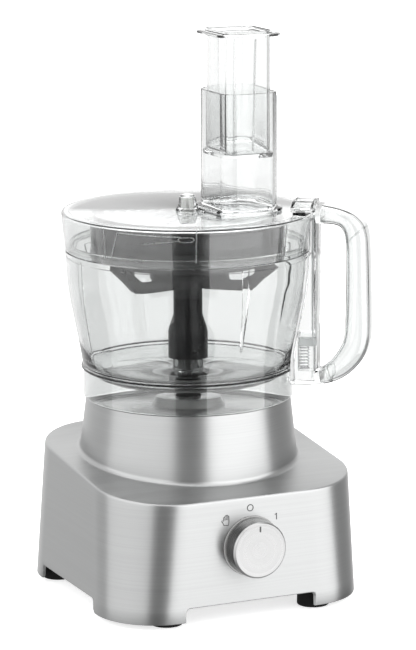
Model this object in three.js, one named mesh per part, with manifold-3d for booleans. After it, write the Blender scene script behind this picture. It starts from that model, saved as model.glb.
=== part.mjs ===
// Food processor: brushed-metal motor base with a direct-drive induction motor, a clear
// lift-off bowl with a loop handle, a clear bayonet lid with a feed chute and pusher, and
// a stem-driven grating disc on a three-arm carrier.
// Millimetres, +Z up. Modelled about the bowl axis with z = 0 at the housing's lower edge;
// SHIFT then puts the origin under the middle of the whole object, on the floor plane.
import * as THREE from 'three';
import { mergeVertices } from 'three/addons/utils/BufferGeometryUtils.js';
import Module from 'manifold-3d';

const wasm = await Module();
wasm.setup();

// ---- driving dimensions -------------------------------------------------------------
const FOOT_H = 5.0;                 // feet stand out below the housing
const SHIFT = new THREE.Vector3(-7.9, 15.25, FOOT_H);
const BASE_BOT = { x: 128.2, y0: -137.2, y1: 115.8, r: 59 };   // outline at z = 0
const BASE_TOP = { x: 124.1, y0: -137.2, y1: 107.5, r: 68 };   // outline at the roof
const ROOF_Z = 124.5, ROOF_SLOPE = 0.104;                      // roof falls to the front
const WALL = 3.0;
const ARCH_H = 13.0;
const COLLAR_R0 = 102, COLLAR_R1 = 95.6, COLLAR_Z = 178.2, FILLET = 9;
const KNOB_R = 26.6, KNOB_L = 19.0, KNOB_Z = 65;
const HANDLE_DEG = -38;
const LID_Z0 = 316.9, LID_Z1 = 353;
const CHUTE = { cx: 43.9, cy: -17.5, w: 56, d: 68, r: 15, wall: 2.5, z1: 463 };
const PUSHER_Z0 = 403, PUSHER_Z1 = 519;
const DISC_R = 90, DISC_Z1 = 348, DRUM_Z0 = 308.6;

// ---- helpers ------------------------------------------------------------------------
const V2 = (x, y) => new THREE.Vector2(x, y);

function toManifold(geo) {
  const g0 = geo.clone();
  g0.deleteAttribute('normal');
  g0.deleteAttribute('uv');
  const g = mergeVertices(g0, 1e-4);
  const pos = g.getAttribute('position').array;
  const idx = g.getIndex().array;
  let tri = [];
  for (let i = 0; i < idx.length; i += 3) {
    const [a, b, c] = [idx[i], idx[i + 1], idx[i + 2]];
    if (a !== b && b !== c && a !== c) tri.push(a, b, c);
  }
  let vol = 0;
  for (let i = 0; i < tri.length; i += 3) {
    const [a, b, c] = [tri[i] * 3, tri[i + 1] * 3, tri[i + 2] * 3];
    vol += pos[a] * (pos[b + 1] * pos[c + 2] - pos[b + 2] * pos[c + 1])
      - pos[a + 1] * (pos[b] * pos[c + 2] - pos[b + 2] * pos[c])
      + pos[a + 2] * (pos[b] * pos[c + 1] - pos[b + 1] * pos[c]);
  }
  if (vol < 0) for (let i = 0; i < tri.length; i += 3) [tri[i + 1], tri[i + 2]] = [tri[i + 2], tri[i + 1]];
  return new wasm.Manifold(new wasm.Mesh({
    numProp: 3, vertProperties: new Float32Array(pos), triVerts: new Uint32Array(tri),
  }));
}
function toGeometry(man) {
  const m = man.getMesh();
  const g = new THREE.BufferGeometry();
  g.setAttribute('position', new THREE.BufferAttribute(new Float32Array(m.vertProperties), 3));
  g.setIndex(new THREE.BufferAttribute(new Uint32Array(m.triVerts), 1));
  g.computeVertexNormals();
  return g;
}
// body of revolution about Z from closed (r, z) profile points
function lathe(pts, seg = 40) {
  const p = pts.map(([r, z]) => V2(r, z));
  p.push(p[0].clone());
  const g = new THREE.LatheGeometry(p, seg);
  g.rotateX(Math.PI / 2);
  return toManifold(g);
}
function cyl(r, z0, z1, seg = 16, x = 0, y = 0) {
  const g = new THREE.CylinderGeometry(r, r, z1 - z0, seg);
  g.rotateX(Math.PI / 2);
  g.translate(x, y, (z0 + z1) / 2);
  return toManifold(g);
}
function tube(ri, ro, z0, z1, seg = 24) { return lathe([[ri, z0], [ro, z0], [ro, z1], [ri, z1]], seg); }
function box(x0, x1, y0, y1, z0, z1) {
  const g = new THREE.BoxGeometry(x1 - x0, y1 - y0, z1 - z0);
  g.translate((x0 + x1) / 2, (y0 + y1) / 2, (z0 + z1) / 2);
  return toManifold(g);
}
function roundRect(w, d, r, cx = 0, cy = 0, seg = 5) {
  const s = new THREE.Shape();
  const pts = [];
  for (const [sx, sy, a0] of [[1, 1, 0], [-1, 1, 90], [-1, -1, 180], [1, -1, 270]]) {
    for (let k = 0; k <= seg; k++) {
      const a = THREE.MathUtils.degToRad(a0 + (90 * k) / seg);
      pts.push(V2(cx + sx * (w / 2 - r) + r * Math.cos(a), cy + sy * (d / 2 - r) + r * Math.sin(a)));
    }
  }
  s.setFromPoints(pts);
  return s;
}
function prism(shape, z0, z1) {
  const g = new THREE.ExtrudeGeometry(shape, { depth: z1 - z0, bevelEnabled: false, curveSegments: 6 });
  g.translate(0, 0, z0);
  return toManifold(g);
}
// prism of an outline in the handle's plane: (rho, z) outline, width w across the plane
const HA = THREE.MathUtils.degToRad(HANDLE_DEG);
function handlePrism(pts, w, off = 0, bevel = 0) {
  const s = new THREE.Shape(pts.map(([a, b]) => V2(a, b)));
  const g = new THREE.ExtrudeGeometry(s, {
    depth: w - 2 * bevel, bevelEnabled: bevel > 0, bevelThickness: bevel, bevelSize: bevel,
    bevelOffset: -bevel, bevelSegments: 2,
  });
  g.translate(0, 0, -(w - 2 * bevel) / 2 - off);
  g.rotateX(Math.PI / 2);          // outline now in X-Z, width along -Y..+Y
  g.rotateZ(HA);
  return toManifold(g);
}
function radialBox(r0, r1, w, z0, z1, deg) {
  const g = new THREE.BoxGeometry(r1 - r0, w, z1 - z0);
  g.translate((r0 + r1) / 2, 0, (z0 + z1) / 2);
  g.rotateZ(THREE.MathUtils.degToRad(deg));
  return toManifold(g);
}
const join = (...m) => m.reduce((a, b) => a.add(b));
const cut = (a, ...m) => m.reduce((x, y) => x.subtract(y), a);

// ---- housing skin as stacked rings about the bowl axis --------------------------------
const NR = 52;
const lerp = (a, b, t) => a + (b - a) * t;
function outlineAt(t) {
  return {
    x: lerp(BASE_BOT.x, BASE_TOP.x, t), y0: BASE_BOT.y0,
    y1: lerp(BASE_BOT.y1, BASE_TOP.y1, t), r: lerp(BASE_BOT.r, BASE_TOP.r, t),
  };
}
function radiusOf(o, inset, th) {
  const c = Math.cos(th), s = Math.sin(th);
  const cy = (o.y0 + o.y1) / 2, hx = o.x, hy = (o.y1 - o.y0) / 2;
  let lo = 0, hi = 260;
  for (let i = 0; i < 40; i++) {
    const m = (lo + hi) / 2;
    const qx = Math.abs(m * c) - (hx - o.r), qy = Math.abs(m * s - cy) - (hy - o.r);
    const d = Math.hypot(Math.max(qx, 0), Math.max(qy, 0)) + Math.min(Math.max(qx, qy), 0) - o.r;
    if (d < -inset) lo = m; else hi = m;
  }
  return lo;
}
const roofZ = (y) => ROOF_Z + ROOF_SLOPE * y;
function ringStack(rings) {           // rings: functions th -> [r, z]; closes on itself
  const n = NR, pos = [], idx = [];
  for (const f of rings) {
    for (let i = 0; i < n; i++) {
      const th = (2 * Math.PI * i) / n;
      const [r, z] = f(th);
      pos.push(r * Math.cos(th), r * Math.sin(th), z);
    }
  }
  const k = rings.length;
  for (let j = 0; j < k; j++) {
    const j2 = (j + 1) % k;
    for (let i = 0; i < n; i++) {
      const i2 = (i + 1) % n;
      const a = j * n + i, b = j * n + i2, c = j2 * n + i2, d = j2 * n + i;
      idx.push(a, b, c, a, c, d);
    }
  }
  const g = new THREE.BufferGeometry();
  g.setAttribute('position', new THREE.BufferAttribute(new Float32Array(pos), 3));
  g.setIndex(idx);
  return toManifold(g);
}
function outerRing(t, inset, drop) {
  return (th) => {
    const r = radiusOf(outlineAt(t), inset, th);
    return [r, t === 0 ? 0 : roofZ(r * Math.sin(th)) * t - drop];
  };
}
const roofRing = (r, up) => (th) => [r, roofZ(r * Math.sin(th)) + up];
const flat = (r, z) => () => [r, z];

let housing = ringStack([
  outerRing(0, 0, 0), outerRing(0.5, 0, 0), outerRing(1, 0, 2.4), outerRing(1, 0.7, 0.7), outerRing(1, 2.4, 0),
  roofRing(COLLAR_R0 + FILLET - 0.6, 0), roofRing(COLLAR_R0 + FILLET * 0.5 - 0.6, FILLET * 0.134),
  roofRing(COLLAR_R0 + FILLET * 0.134 - 0.6, FILLET * 0.5), roofRing(COLLAR_R0 - 0.6, FILLET),
  flat(COLLAR_R1 + 0.1, COLLAR_Z - 1.2), flat(COLLAR_R1 - 1.1, COLLAR_Z),
  flat(90.2, COLLAR_Z), flat(90.2, 168), flat(92.4, 166), flat(94.5, 142),
  (th) => { const r = radiusOf(outlineAt(1), WALL + 0.6, th); return [r, roofZ(r * Math.sin(th)) - WALL - 0.4]; },
  outerRing(0.5, WALL, 0), outerRing(0, WALL, 0),
]);
const archX = prism(new THREE.Shape([V2(-65, -1), V2(66, -1), V2(66, ARCH_H - 4), V2(62, ARCH_H), V2(-61, ARCH_H), V2(-65, ARCH_H - 4)]), -150, 150);
const archXm = archX.rotate([90, 0, 0]);          // (x, y, z) -> (x, -z, y): runs front to back
const archYs = prism(new THREE.Shape([V2(-71, -1), V2(55, -1), V2(55, ARCH_H - 4), V2(51, ARCH_H), V2(-67, ARCH_H), V2(-71, ARCH_H - 4)]), -150, 150)
  .rotate([90, 0, 90]);                            // runs left to right
const shaftHole = cyl(5.2, -4, 4, 20).rotate([90, 0, 0]).translate([0, -135.7, KNOB_Z]);
const glandHole = cyl(8.3, -6, 6, 20).rotate([90, 0, 0]).translate([-62, 112, 32]);
housing = cut(housing, archXm, archYs, shaftHole, glandHole);

// ---- base parts ---------------------------------------------------------------------
const plateShape = new THREE.Shape(
  Array.from({ length: NR }, (_, i) => {
    const th = (2 * Math.PI * i) / NR;
    const r = radiusOf(outlineAt(0.12), WALL + 0.7, th);
    return V2(r * Math.cos(th), r * Math.sin(th));
  }));
const FEET = { front_left: [-74, -114], front_right: [74, -114], back_left: [-105, 70], back_right: [105, 70] };
let basePlate = prism(plateShape, 13.8, 16.2);
for (const [x, y] of Object.values(FEET)) basePlate = basePlate.subtract(cyl(2.5, 10, 20, 12, x, y));
for (let i = -2; i <= 2; i++) basePlate = basePlate.subtract(box(i * 11 - 2.5, i * 11 + 2.5, -32, 32, 10, 20));

const foot = lathe([[2.5, 5], [5.4, 5], [5.6, -FOOT_H], [14.2, -FOOT_H], [15, -FOOT_H + 1], [14.4, 13.4], [2.5, 13.4]], 16);
const footScrew = lathe([[0, 1.6], [3.9, 1.6], [4.6, 4.6], [2, 4.7], [2, 20.5], [0, 21.5]], 8);

const deck = lathe([[8.6, 178], [26, 178], [26, 173.4], [89.8, 173.4], [89.8, 175.8], [31, 175.8], [29.2, 184], [8.6, 184]], 28);
const shaftSeal = tube(7.3, 11.2, 184.3, 187.6, 16);

const stator = tube(38.7, 64, 48, 100, 28);
const windingUp = lathe([[40.5, 100.3], [59, 100.3], [57.5, 106.6], [42.5, 106.6]], 24);
const windingLo = lathe([[40.5, 47.7], [59, 47.7], [57.5, 41.4], [42.5, 41.4]], 24);
const BOLTS = [45, 135, 225, 315].map((d) => THREE.MathUtils.degToRad(d));
let topBracket = lathe([[12.3, 112], [17, 112], [17, 120.5], [12.3, 120.5], [12.3, 112]].slice(0, 4), 20)
  .add(lathe([[8, 108.5], [74, 108.5], [74, 112], [8, 112]], 24)).add(tube(12.3, 20, 111, 120.5, 20));
let bottomBracket = lathe([[8, 35.6], [74, 35.6], [74, 39.1], [8, 39.1]], 24).add(tube(12.3, 20, 27.4, 36, 20));
topBracket = topBracket.add(tube(60.2, 66.5, 100.8, 109, 24));
bottomBracket = bottomBracket.add(tube(60.2, 66.5, 38.5, 47.2, 24));
for (const a of BOLTS) {
  const [x, y] = [69.5 * Math.cos(a), 69.5 * Math.sin(a)];
  topBracket = topBracket.subtract(cyl(2.8, 100, 122, 8, x, y));
  bottomBracket = bottomBracket.subtract(cyl(2.8, 20, 48, 8, x, y));
}
for (const d of [0, 90, 180, 270]) {
  const a = THREE.MathUtils.degToRad(d);
  bottomBracket = bottomBracket.add(cyl(6.5, 16.5, 36.4, 10, 64.5 * Math.cos(a), 64.5 * Math.sin(a)));
}
topBracket = topBracket.subtract(cyl(6.8, 100, 125, 20));
bottomBracket = bottomBracket.subtract(cyl(6.8, 20, 50, 20));
const bearingUp = lathe([[6.03, 112.4], [12.0, 112.4], [12.0, 120.2], [6.03, 120.2]], 20);
const bearingLo = lathe([[6.03, 27.6], [12.0, 27.6], [12.0, 35.3], [6.03, 35.3]], 20);
const tieBolt = lathe([[0, 31], [4.4, 31], [4.4, 35.3], [2.5, 35.3], [2.5, 112.2], [4.4, 112.3], [4.4, 116], [0, 116]], 8);
const capacitor = lathe([[0, 16.6], [19, 16.6], [20, 17.6], [20, 80], [18.5, 82], [7, 82], [7, 86], [0, 86]], 20);
const board = box(-66, 6, 90, 92, 26, 84).add(box(-58, -38, 76, 91, 40, 62)).add(box(-26, -8, 80, 91, 34, 50)).add(box(-22, -2, 82, 91, 58, 76));
const rotarySwitch = cut(box(-19, 19, -131, -110, 46, 84).add(box(-12, 12, -133.0, -130, 55, 75)), cyl(4.2, -14, 14, 16).rotate([90, 0, 0]).translate([0, -134, KNOB_Z]));
const bezel = tube(24, 27.9, 0, 1.1, 32).rotate([90, 0, 0]).translate([0, -137.5, KNOB_Z]);
const sensor = radialBox(77, 86, 16, 146, 168, HANDLE_DEG);
const gland = lathe([[3.6, -9], [7.9, -9], [7.9, 0.2], [10.8, 0.2], [10.8, 2.4], [6.6, 6.4], [5.8, 11.6], [3.6, 11.6]], 16)
  .rotate([-90, 0, 0]).translate([-62, 114.4, 32]);

// ---- control knob (axis along Y, outer face to the front) -------------------------------
let knob = lathe([[0, -2], [3.9, -2], [3.9, 1.6], [KNOB_R - 0.9, 1.6], [KNOB_R, 2.6], [KNOB_R - 0.5, KNOB_L - 1.2], [KNOB_R - 1.7, KNOB_L], [0, KNOB_L]], 36)
  .rotate([90, 0, 0]).translate([0, -137.5, KNOB_Z]);
knob = knob.subtract(box(-0.9, 0.9, -160, -137.5 - KNOB_L + 0.6, KNOB_Z + KNOB_R - 7.5, KNOB_Z + KNOB_R - 2.6));

// ---- rotor body ---------------------------------------------------------------------
const rotorCore = tube(6.2, 38, 48.5, 99.5, 24);
const shaft = lathe([[0, 18], [5.9, 18], [5.9, 121.5], [7.0, 123], [7.0, 187.9], [7.0, 262], [6, 263.5], [0, 263.5]], 16);
let fan = tube(6.2, 16, 19, 27, 16).add(tube(10, 50, 24.2, 26, 24));
for (let i = 0; i < 9; i++) fan = fan.add(radialBox(20, 49, 2, 18.2, 25, i * 40));
let coupling = tube(7.15, 9.0, 189.5, 258, 18);
for (let i = 0; i < 6; i++) coupling = coupling.add(radialBox(8, 9.9, 3, 189.5, 258, i * 60));

// ---- bowl body ----------------------------------------------------------------------
const WB = [[203, 97.8], [208, 98.5], [225.6, 101.1], [256, 107.0], [273, 110.2], [294, 112.5]];
const bowl = lathe([
  [72, 196.5], [86, 201.4], [94.8, 207], [94.8, 178.7], [97.8, 178.7], [97.7, 204],
  [99.7, 206.8], ...WB.slice(1).map(([z, r]) => [r, z]), [113.1, 311.4], [113.7, 316.2],
  [110.5, 316.5], [110.5, 320], [107.8, 320], [107.8, 312],
  ...WB.slice(2).reverse().map(([z, r]) => [r - 2.9, z]), [94.5, 214], [83, 203.6], [71, 199.5],
  [13.7, 199.5], [13.7, 240], [10.7, 240], [10.7, 196.5],
], 36);
// column beside the bowl wall: houses the interlock rod and its spring
const ch = (z) => { for (let i = 1; i < WB.length; i++) if (z <= WB[i][0]) return lerp(WB[i - 1][1], WB[i][1], (z - WB[i - 1][0]) / (WB[i][0] - WB[i - 1][0])); return 112.7; };
let column = handlePrism([
  [100.4, 194], [121.5, 194], [123, 196], [123, 349], [117.8, 349], [117.8, 318], [114.4, 311], [114.1, 300],
  [ch(286) + 0.7, 286], [ch(262) + 0.7, 262], [ch(236) + 0.7, 236], [100.4, 210.5],
], 32);
const channel = handlePrism([[118.7, 200], [121.8, 200], [121.8, 352], [118.7, 352]], 10.6);
const pocket = handlePrism([[106.6, 206.4], [121.8, 206.4], [121.8, 243], [106.6, 243]], 13);
column = cut(column, channel, pocket);
const grip = handlePrism([
  [123.3, 363], [146, 359.5], [158, 354.5], [165.5, 348], [169.6, 340], [171.2, 329], [172.6, 290], [173.4, 246], [172, 232.5],
  [167, 219.5], [158, 208.2], [147, 200], [134, 195], [123.3, 194],
  [123.3, 208], [130, 210.5], [137, 217.5], [144, 226.5], [148.6, 236], [150.2, 247], [151, 300], [150.4, 331], [147.6, 340],
  [142.5, 344.5], [123.3, 344.5],
], 30, 0, 4.5);
const rod = handlePrism([[107, 229.4], [121.4, 229.4], [121.4, 352], [119.1, 352], [119.1, 236.4], [107, 236.4]], 9.6);
const SPR = { rho: 111.4, z0: 206.8, z1: 229.0, r: 4.1, wire: 0.55, turns: 5 };
class Helix extends THREE.Curve {
  getPoint(t, target = new THREE.Vector3()) {
    const a = 2 * Math.PI * SPR.turns * t;
    return target.set(SPR.r * Math.cos(a), SPR.r * Math.sin(a), lerp(SPR.z0 + SPR.wire, SPR.z1 - SPR.wire, t));
  }
}
const wireShape = new THREE.Shape(Array.from({ length: 4 }, (_, i) => V2(SPR.wire * Math.cos(i * 1.5708), SPR.wire * Math.sin(i * 1.5708))));
const springGeo = new THREE.ExtrudeGeometry(wireShape, { steps: 54, extrudePath: new Helix(), bevelEnabled: false });
springGeo.translate(SPR.rho * Math.cos(HA), SPR.rho * Math.sin(HA), 0);
const spring = toManifold(springGeo);

// ---- driven tool --------------------------------------------------------------------
const stem = lathe([
  [0, 264.2], [10.5, 264.2], [10.5, 242.6], [14.3, 242.4], [14.3, 213], [18.5, 213], [18.5, 238], [17.3, 243],
  [13.6, 254], [13.4, 281.9], [12, 281.9], [12, 345.6], [3.2, 346.6], [3.2, 361], [0, 361],
], 24);
// carrier: hub on the stem, three windowed arms and the open drum that the disc lies on
let carrier = lathe([[12.3, 282.4], [16.5, 282.4], [16.5, 291.8], [35, 291.8], [35, 316], [20, 322], [20, 346], [12.3, 346]], 24)
  .add(lathe([[87.2, DRUM_Z0], [88.6, DRUM_Z0], [89.8, DRUM_Z0 + 7], [89.8, 346], [87.2, 346]], 36));
for (const d of [-24.2 + 100, -24.2 - 20, -24.2 - 140]) {
  const s = new THREE.Shape([V2(14, 282.4), V2(60.5, 282.4), V2(64, 284), V2(88.5, 308), V2(88.5, 315.3), V2(14, 315.3)]);
  s.holes.push(new THREE.Path([V2(40, 292.3), V2(56, 292.3), V2(66, 302), V2(66, 309), V2(38, 309), V2(38, 299)]));
  const g = new THREE.ExtrudeGeometry(s, { depth: 9, bevelEnabled: false });
  g.translate(0, 0, -4.5);
  g.rotateX(Math.PI / 2);
  g.rotateZ(THREE.MathUtils.degToRad(d));
  carrier = carrier.add(toManifold(g));
}
carrier = carrier.subtract(cyl(12.3, 280, 350, 24));
let disc = lathe([[12.5, DISC_Z1 - 1.7], [DISC_R, DISC_Z1 - 1.7], [DISC_R, DISC_Z1 - 0.5], [DISC_R - 0.5, DISC_Z1], [12.5, DISC_Z1]], 36);
for (const [n, r] of [[6, 40], [10, 68]]) {
  for (let i = 0; i < n; i++) {
    const a = (2 * Math.PI * (i + 0.5 * (n % 8 ? 1 : 0))) / n;
    disc = disc.subtract(cyl(3, DISC_Z1 - 3, DISC_Z1 + 1, 6, r * Math.cos(a), r * Math.sin(a)));
  }
}

// ---- lid ----------------------------------------------------------------------------
let lid = lathe([
  [0, 350], [112, 350], [114, 348], [111.2, LID_Z0], [113.8, LID_Z0], [117, 349], [116, 351.6],
  [110, LID_Z1], [8.3, LID_Z1], [8.2, 367.2], [7.2, 368], [0, 368],
], 36);
const chuteIn = roundRect(CHUTE.w - 2 * CHUTE.wall, CHUTE.d - 2 * CHUTE.wall, CHUTE.r - CHUTE.wall, CHUTE.cx, CHUTE.cy);
lid = cut(lid, prism(chuteIn, 340, 360), cyl(6.4, 345, 364.4, 24));
// nose over the handle column, with a ramp underneath that works the interlock rod
const noseGeo = (() => {
  const s = new THREE.Shape([V2(18, 352.4), V2(5, 352.4), V2(-18, 355.7), V2(-18, 360.5), V2(-12, 365.6), V2(-4, 367), V2(4, 367), V2(12, 365.6), V2(18, 360.5)]);
  const g = new THREE.ExtrudeGeometry(s, { depth: 21, bevelEnabled: false });
  // shape x -> tangent, y -> z, depth -> radius
  g.applyMatrix4(new THREE.Matrix4().makeBasis(new THREE.Vector3(0, 1, 0), new THREE.Vector3(0, 0, 1), new THREE.Vector3(1, 0, 0)));
  g.translate(102.3, 0, 0);
  g.rotateZ(HA);
  return g;
})();
lid = lid.add(toManifold(noseGeo).intersect(cyl(122.9, 340, 380, 96)));
lid = lid.add(radialBox(104, 116.5, 36, 351, 357, HANDLE_DEG));
const chuteOut = roundRect(CHUTE.w, CHUTE.d, CHUTE.r, CHUTE.cx, CHUTE.cy);
const chuteFoot = roundRect(CHUTE.w + 12, CHUTE.d + 10, CHUTE.r + 5, CHUTE.cx, CHUTE.cy);
const chute = cut(join(
  prism(chuteOut, 353.3, CHUTE.z1),
  prism(chuteFoot, 353.3, 356.8).intersect(cyl(108, 350, 360, 48)),
), prism(chuteIn, 350, CHUTE.z1 + 2)).subtract(cyl(9.6, 350, 372, 24));
const lidBush = tube(3.5, 6.1, 350.8, 363.6, 20);
const seal = lathe([[108, 320.3], [110.8, 320.3], [111.1, 323.4], [109.4, 324.4], [108, 323]], 32);

// ---- pusher -------------------------------------------------------------------------
const P = (w, d, r) => roundRect(w, d, r, CHUTE.cx, CHUTE.cy);
const pusher = cut(join(
  prism(P(45, 56, 10), PUSHER_Z0 + 1, PUSHER_Z1 - 2),
  prism(P(50, 62, 12), PUSHER_Z0, PUSHER_Z0 + 4),
  prism(P(63, 75, 18), PUSHER_Z1 - 4.6, PUSHER_Z1 - 2.2),
  prism(P(48, 59, 11.5), PUSHER_Z1 - 3, PUSHER_Z1),
), prism(P(40.6, 51.6, 7.8), PUSHER_Z0 + 2.4, PUSHER_Z1 + 2));

// ---- scene graph ---------------------------------------------------------------------
const mat = (c, r, m) => new THREE.MeshStandardMaterial({ color: c, roughness: r, metalness: m });
const M = {
  alu: mat(0xc4c6c8, 0.35, 0.9), aluBright: mat(0xdadbdc, 0.3, 0.95), black: mat(0x17181a, 0.6, 0), grey: mat(0x8b8e90, 0.5, 0),
  clear: mat(0xe6eaea, 0.08, 0), steel: mat(0xb4b7ba, 0.22, 1), darkPlastic: mat(0x3a3c3e, 0.45, 0), lam: mat(0x5c5f63, 0.6, 0.8),
  copper: mat(0xb1683a, 0.4, 0.9), board: mat(0x2c5a3a, 0.6, 0), white: mat(0xe2e2de, 0.5, 0), seal: mat(0xd5d7d6, 0.6, 0),
};
const root = new THREE.Group();
root.position.copy(SHIFT);
function put(group, name, man, material, x = 0, y = 0, z = 0) {
  const m = new THREE.Mesh(toGeometry(man), material);
  m.name = name;
  m.position.set(x, y, z);
  group.add(m);
}
const base = new THREE.Group(), rotor = new THREE.Group(), bowlG = new THREE.Group(), toolG = new THREE.Group(), lidG = new THREE.Group();
root.add(base, rotor, bowlG, toolG, lidG);

put(base, 'base_housing', housing, M.alu);
put(base, 'base_plate', basePlate, M.darkPlastic);
let k = 1;
for (const [n, [x, y]] of Object.entries(FEET)) {
  put(base, `foot_${n}`, foot, M.black, x, y);
  put(base, `foot_screw_${k++}`, footScrew, M.steel, x, y);
}
put(base, 'deck_plate', deck, M.grey);
put(base, 'shaft_seal', shaftSeal, M.black);
put(base, 'motor_stator', stator, M.lam);
put(base, 'winding_upper', windingUp, M.copper);
put(base, 'winding_lower', windingLo, M.copper);
put(base, 'motor_top_bracket', topBracket, M.aluBright);
put(base, 'motor_bottom_bracket', bottomBracket, M.aluBright);
put(base, 'bearing_upper', bearingUp, M.steel);
put(base, 'bearing_lower', bearingLo, M.steel);
BOLTS.forEach((a, i) => put(base, `tie_bolt_${i + 1}`, tieBolt, M.steel, 69.5 * Math.cos(a), 69.5 * Math.sin(a)));
put(base, 'run_capacitor', capacitor, M.white, 80, 72);
put(base, 'control_board', board, M.board);
put(base, 'rotary_switch', rotarySwitch, M.black);
put(base, 'knob_bezel', bezel, M.black);
put(base, 'interlock_sensor', sensor, M.black);
put(base, 'cable_gland', gland, M.black);
put(base, 'control_knob', knob, M.aluBright);
put(rotor, 'rotor_core', rotorCore, M.lam);
put(rotor, 'motor_shaft', shaft, M.steel);
put(rotor, 'cooling_fan', fan, M.darkPlastic);
put(rotor, 'drive_coupling', coupling, M.black);
put(bowlG, 'bowl', bowl, M.clear);
put(bowlG, 'handle_column', column, M.clear);
put(bowlG, 'handle_grip', grip, M.clear);
put(bowlG, 'interlock_spring', spring, M.steel);
put(bowlG, 'interlock_rod', rod, M.white);
put(toolG, 'drive_stem', stem, M.black);
put(toolG, 'disc_carrier', carrier, M.darkPlastic);
put(toolG, 'grating_disc', disc, M.steel);
put(lidG, 'lid_seal', seal, M.seal);
put(lidG, 'lid_cover', lid, M.clear);
put(lidG, 'feed_chute', chute, M.clear);
put(lidG, 'lid_bush', lidBush, M.white);
put(lidG, 'pusher', pusher, M.clear);

export default root;
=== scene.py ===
import bpy, bmesh, math
import numpy as np
from mathutils import Vector, Matrix, Quaternion


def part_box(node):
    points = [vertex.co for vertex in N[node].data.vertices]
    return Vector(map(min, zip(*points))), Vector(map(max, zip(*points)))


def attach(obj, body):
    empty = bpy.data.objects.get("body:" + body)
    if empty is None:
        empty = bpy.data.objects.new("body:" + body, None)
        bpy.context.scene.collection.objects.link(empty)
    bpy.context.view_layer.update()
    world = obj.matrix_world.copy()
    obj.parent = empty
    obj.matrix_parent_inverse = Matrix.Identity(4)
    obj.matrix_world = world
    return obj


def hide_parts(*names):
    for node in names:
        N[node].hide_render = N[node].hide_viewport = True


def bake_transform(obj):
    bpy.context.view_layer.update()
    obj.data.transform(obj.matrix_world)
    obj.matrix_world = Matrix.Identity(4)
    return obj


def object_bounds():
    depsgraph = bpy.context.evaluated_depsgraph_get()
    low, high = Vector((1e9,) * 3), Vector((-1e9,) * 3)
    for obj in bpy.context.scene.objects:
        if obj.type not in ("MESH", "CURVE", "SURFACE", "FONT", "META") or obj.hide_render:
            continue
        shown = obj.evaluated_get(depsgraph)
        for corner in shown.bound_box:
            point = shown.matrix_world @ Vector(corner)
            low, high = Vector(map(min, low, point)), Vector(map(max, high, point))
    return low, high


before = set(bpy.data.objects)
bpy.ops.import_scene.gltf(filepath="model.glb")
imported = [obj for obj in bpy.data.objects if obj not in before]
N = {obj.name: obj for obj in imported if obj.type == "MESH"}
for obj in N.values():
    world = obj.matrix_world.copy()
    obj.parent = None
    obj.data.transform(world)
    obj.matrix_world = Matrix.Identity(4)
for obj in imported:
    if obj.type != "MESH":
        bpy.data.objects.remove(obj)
cad_lo, cad_hi = [list(map(float, v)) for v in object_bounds()]
blo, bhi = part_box("bowl")
hlo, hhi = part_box("base_housing")
# the bowl axis and the housing's lower edge, in metres: everything below is built in mm about them
OX, OY, OZ = (blo[0] + bhi[0]) / 2, (blo[1] + bhi[1]) / 2, float(hlo[2])


def W(p):
    return (OX + p[0] / 1000.0, OY + p[1] / 1000.0, OZ + p[2] / 1000.0)


rad = math.radians

# ------------------------------------------------------------------ camera, lights, floor
cam_d = bpy.data.cameras.new("camera")
cam = bpy.data.objects.new("camera", cam_d)
bpy.context.scene.collection.objects.link(cam)
cam_d.sensor_width = 36.0
cam_d.lens = 169.465
cam_d.clip_start, cam_d.clip_end = 0.05, 100.0
cam.location = W((-1146.129, -2547.29, 816.158))
cam.rotation_mode = "QUATERNION"
cam.rotation_quaternion = Quaternion((0.7568312, 0.6177745, -0.1335829, -0.1664838))
bpy.context.scene.camera = cam
bpy.context.scene.view_settings.view_transform = "Standard"

AZ = rad(-24.225)
B = Vector((math.sin(AZ), -math.cos(AZ), 0.0))    # from the object towards the photo's side
R = Vector((math.cos(AZ), math.sin(AZ), 0.0))     # to the right of that side
CEN = Vector(W((0, 0, 200)))


def area(name, az_deg, dist, zc, w, h, radiance, tilt=None, colour=(1, 1, 1)):
    """A soft box: az_deg is measured from the photo's side towards its right."""
    a = rad(az_deg)
    d = B * math.cos(a) + R * math.sin(a)
    L = bpy.data.lights.new(name, "AREA")
    L.shape = "RECTANGLE"
    L.size, L.size_y = w, h
    L.energy = radiance * math.pi * w * h
    L.color = colour
    o = bpy.data.objects.new(name, L)
    bpy.context.scene.collection.objects.link(o)
    o.location = CEN + d * dist + Vector((0, 0, zc))
    aim = CEN - o.location
    if tilt is not None:
        aim = -d * math.cos(tilt) + Vector((0, 0, -math.sin(tilt)))
    o.rotation_mode = "QUATERNION"
    o.rotation_quaternion = aim.to_track_quat("-Z", "Y")
    return o


area("key_box", 56, 1.9, 0.35, 2.76, 3.3, 2.15, tilt=0.0)
area("fill_box", -53, 1.9, 0.35, 3.08, 3.3, 1.05, tilt=0.0)
top = area("top_box", 0, 0.0, 2.3, 2.6, 2.6, 2.0)

# world: a pale studio, darker towards the two gaps between the soft boxes
wd = bpy.data.worlds.new("studio")
bpy.context.scene.world = wd
wd.use_nodes = True
nt = wd.node_tree
nt.nodes.clear()
n_out = nt.nodes.new("ShaderNodeOutputWorld")
n_bg = nt.nodes.new("ShaderNodeBackground")
n_tc = nt.nodes.new("ShaderNodeTexCoord")


def wmath(op, a, b=None):
    m = nt.nodes.new("ShaderNodeMath")
    m.operation = op
    for i, v in enumerate((a, b)):
        if v is None:
            continue
        if isinstance(v, (int, float)):
            m.inputs[i].default_value = v
        else:
            nt.links.new(v, m.inputs[i])
    return m.outputs[0]


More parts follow.
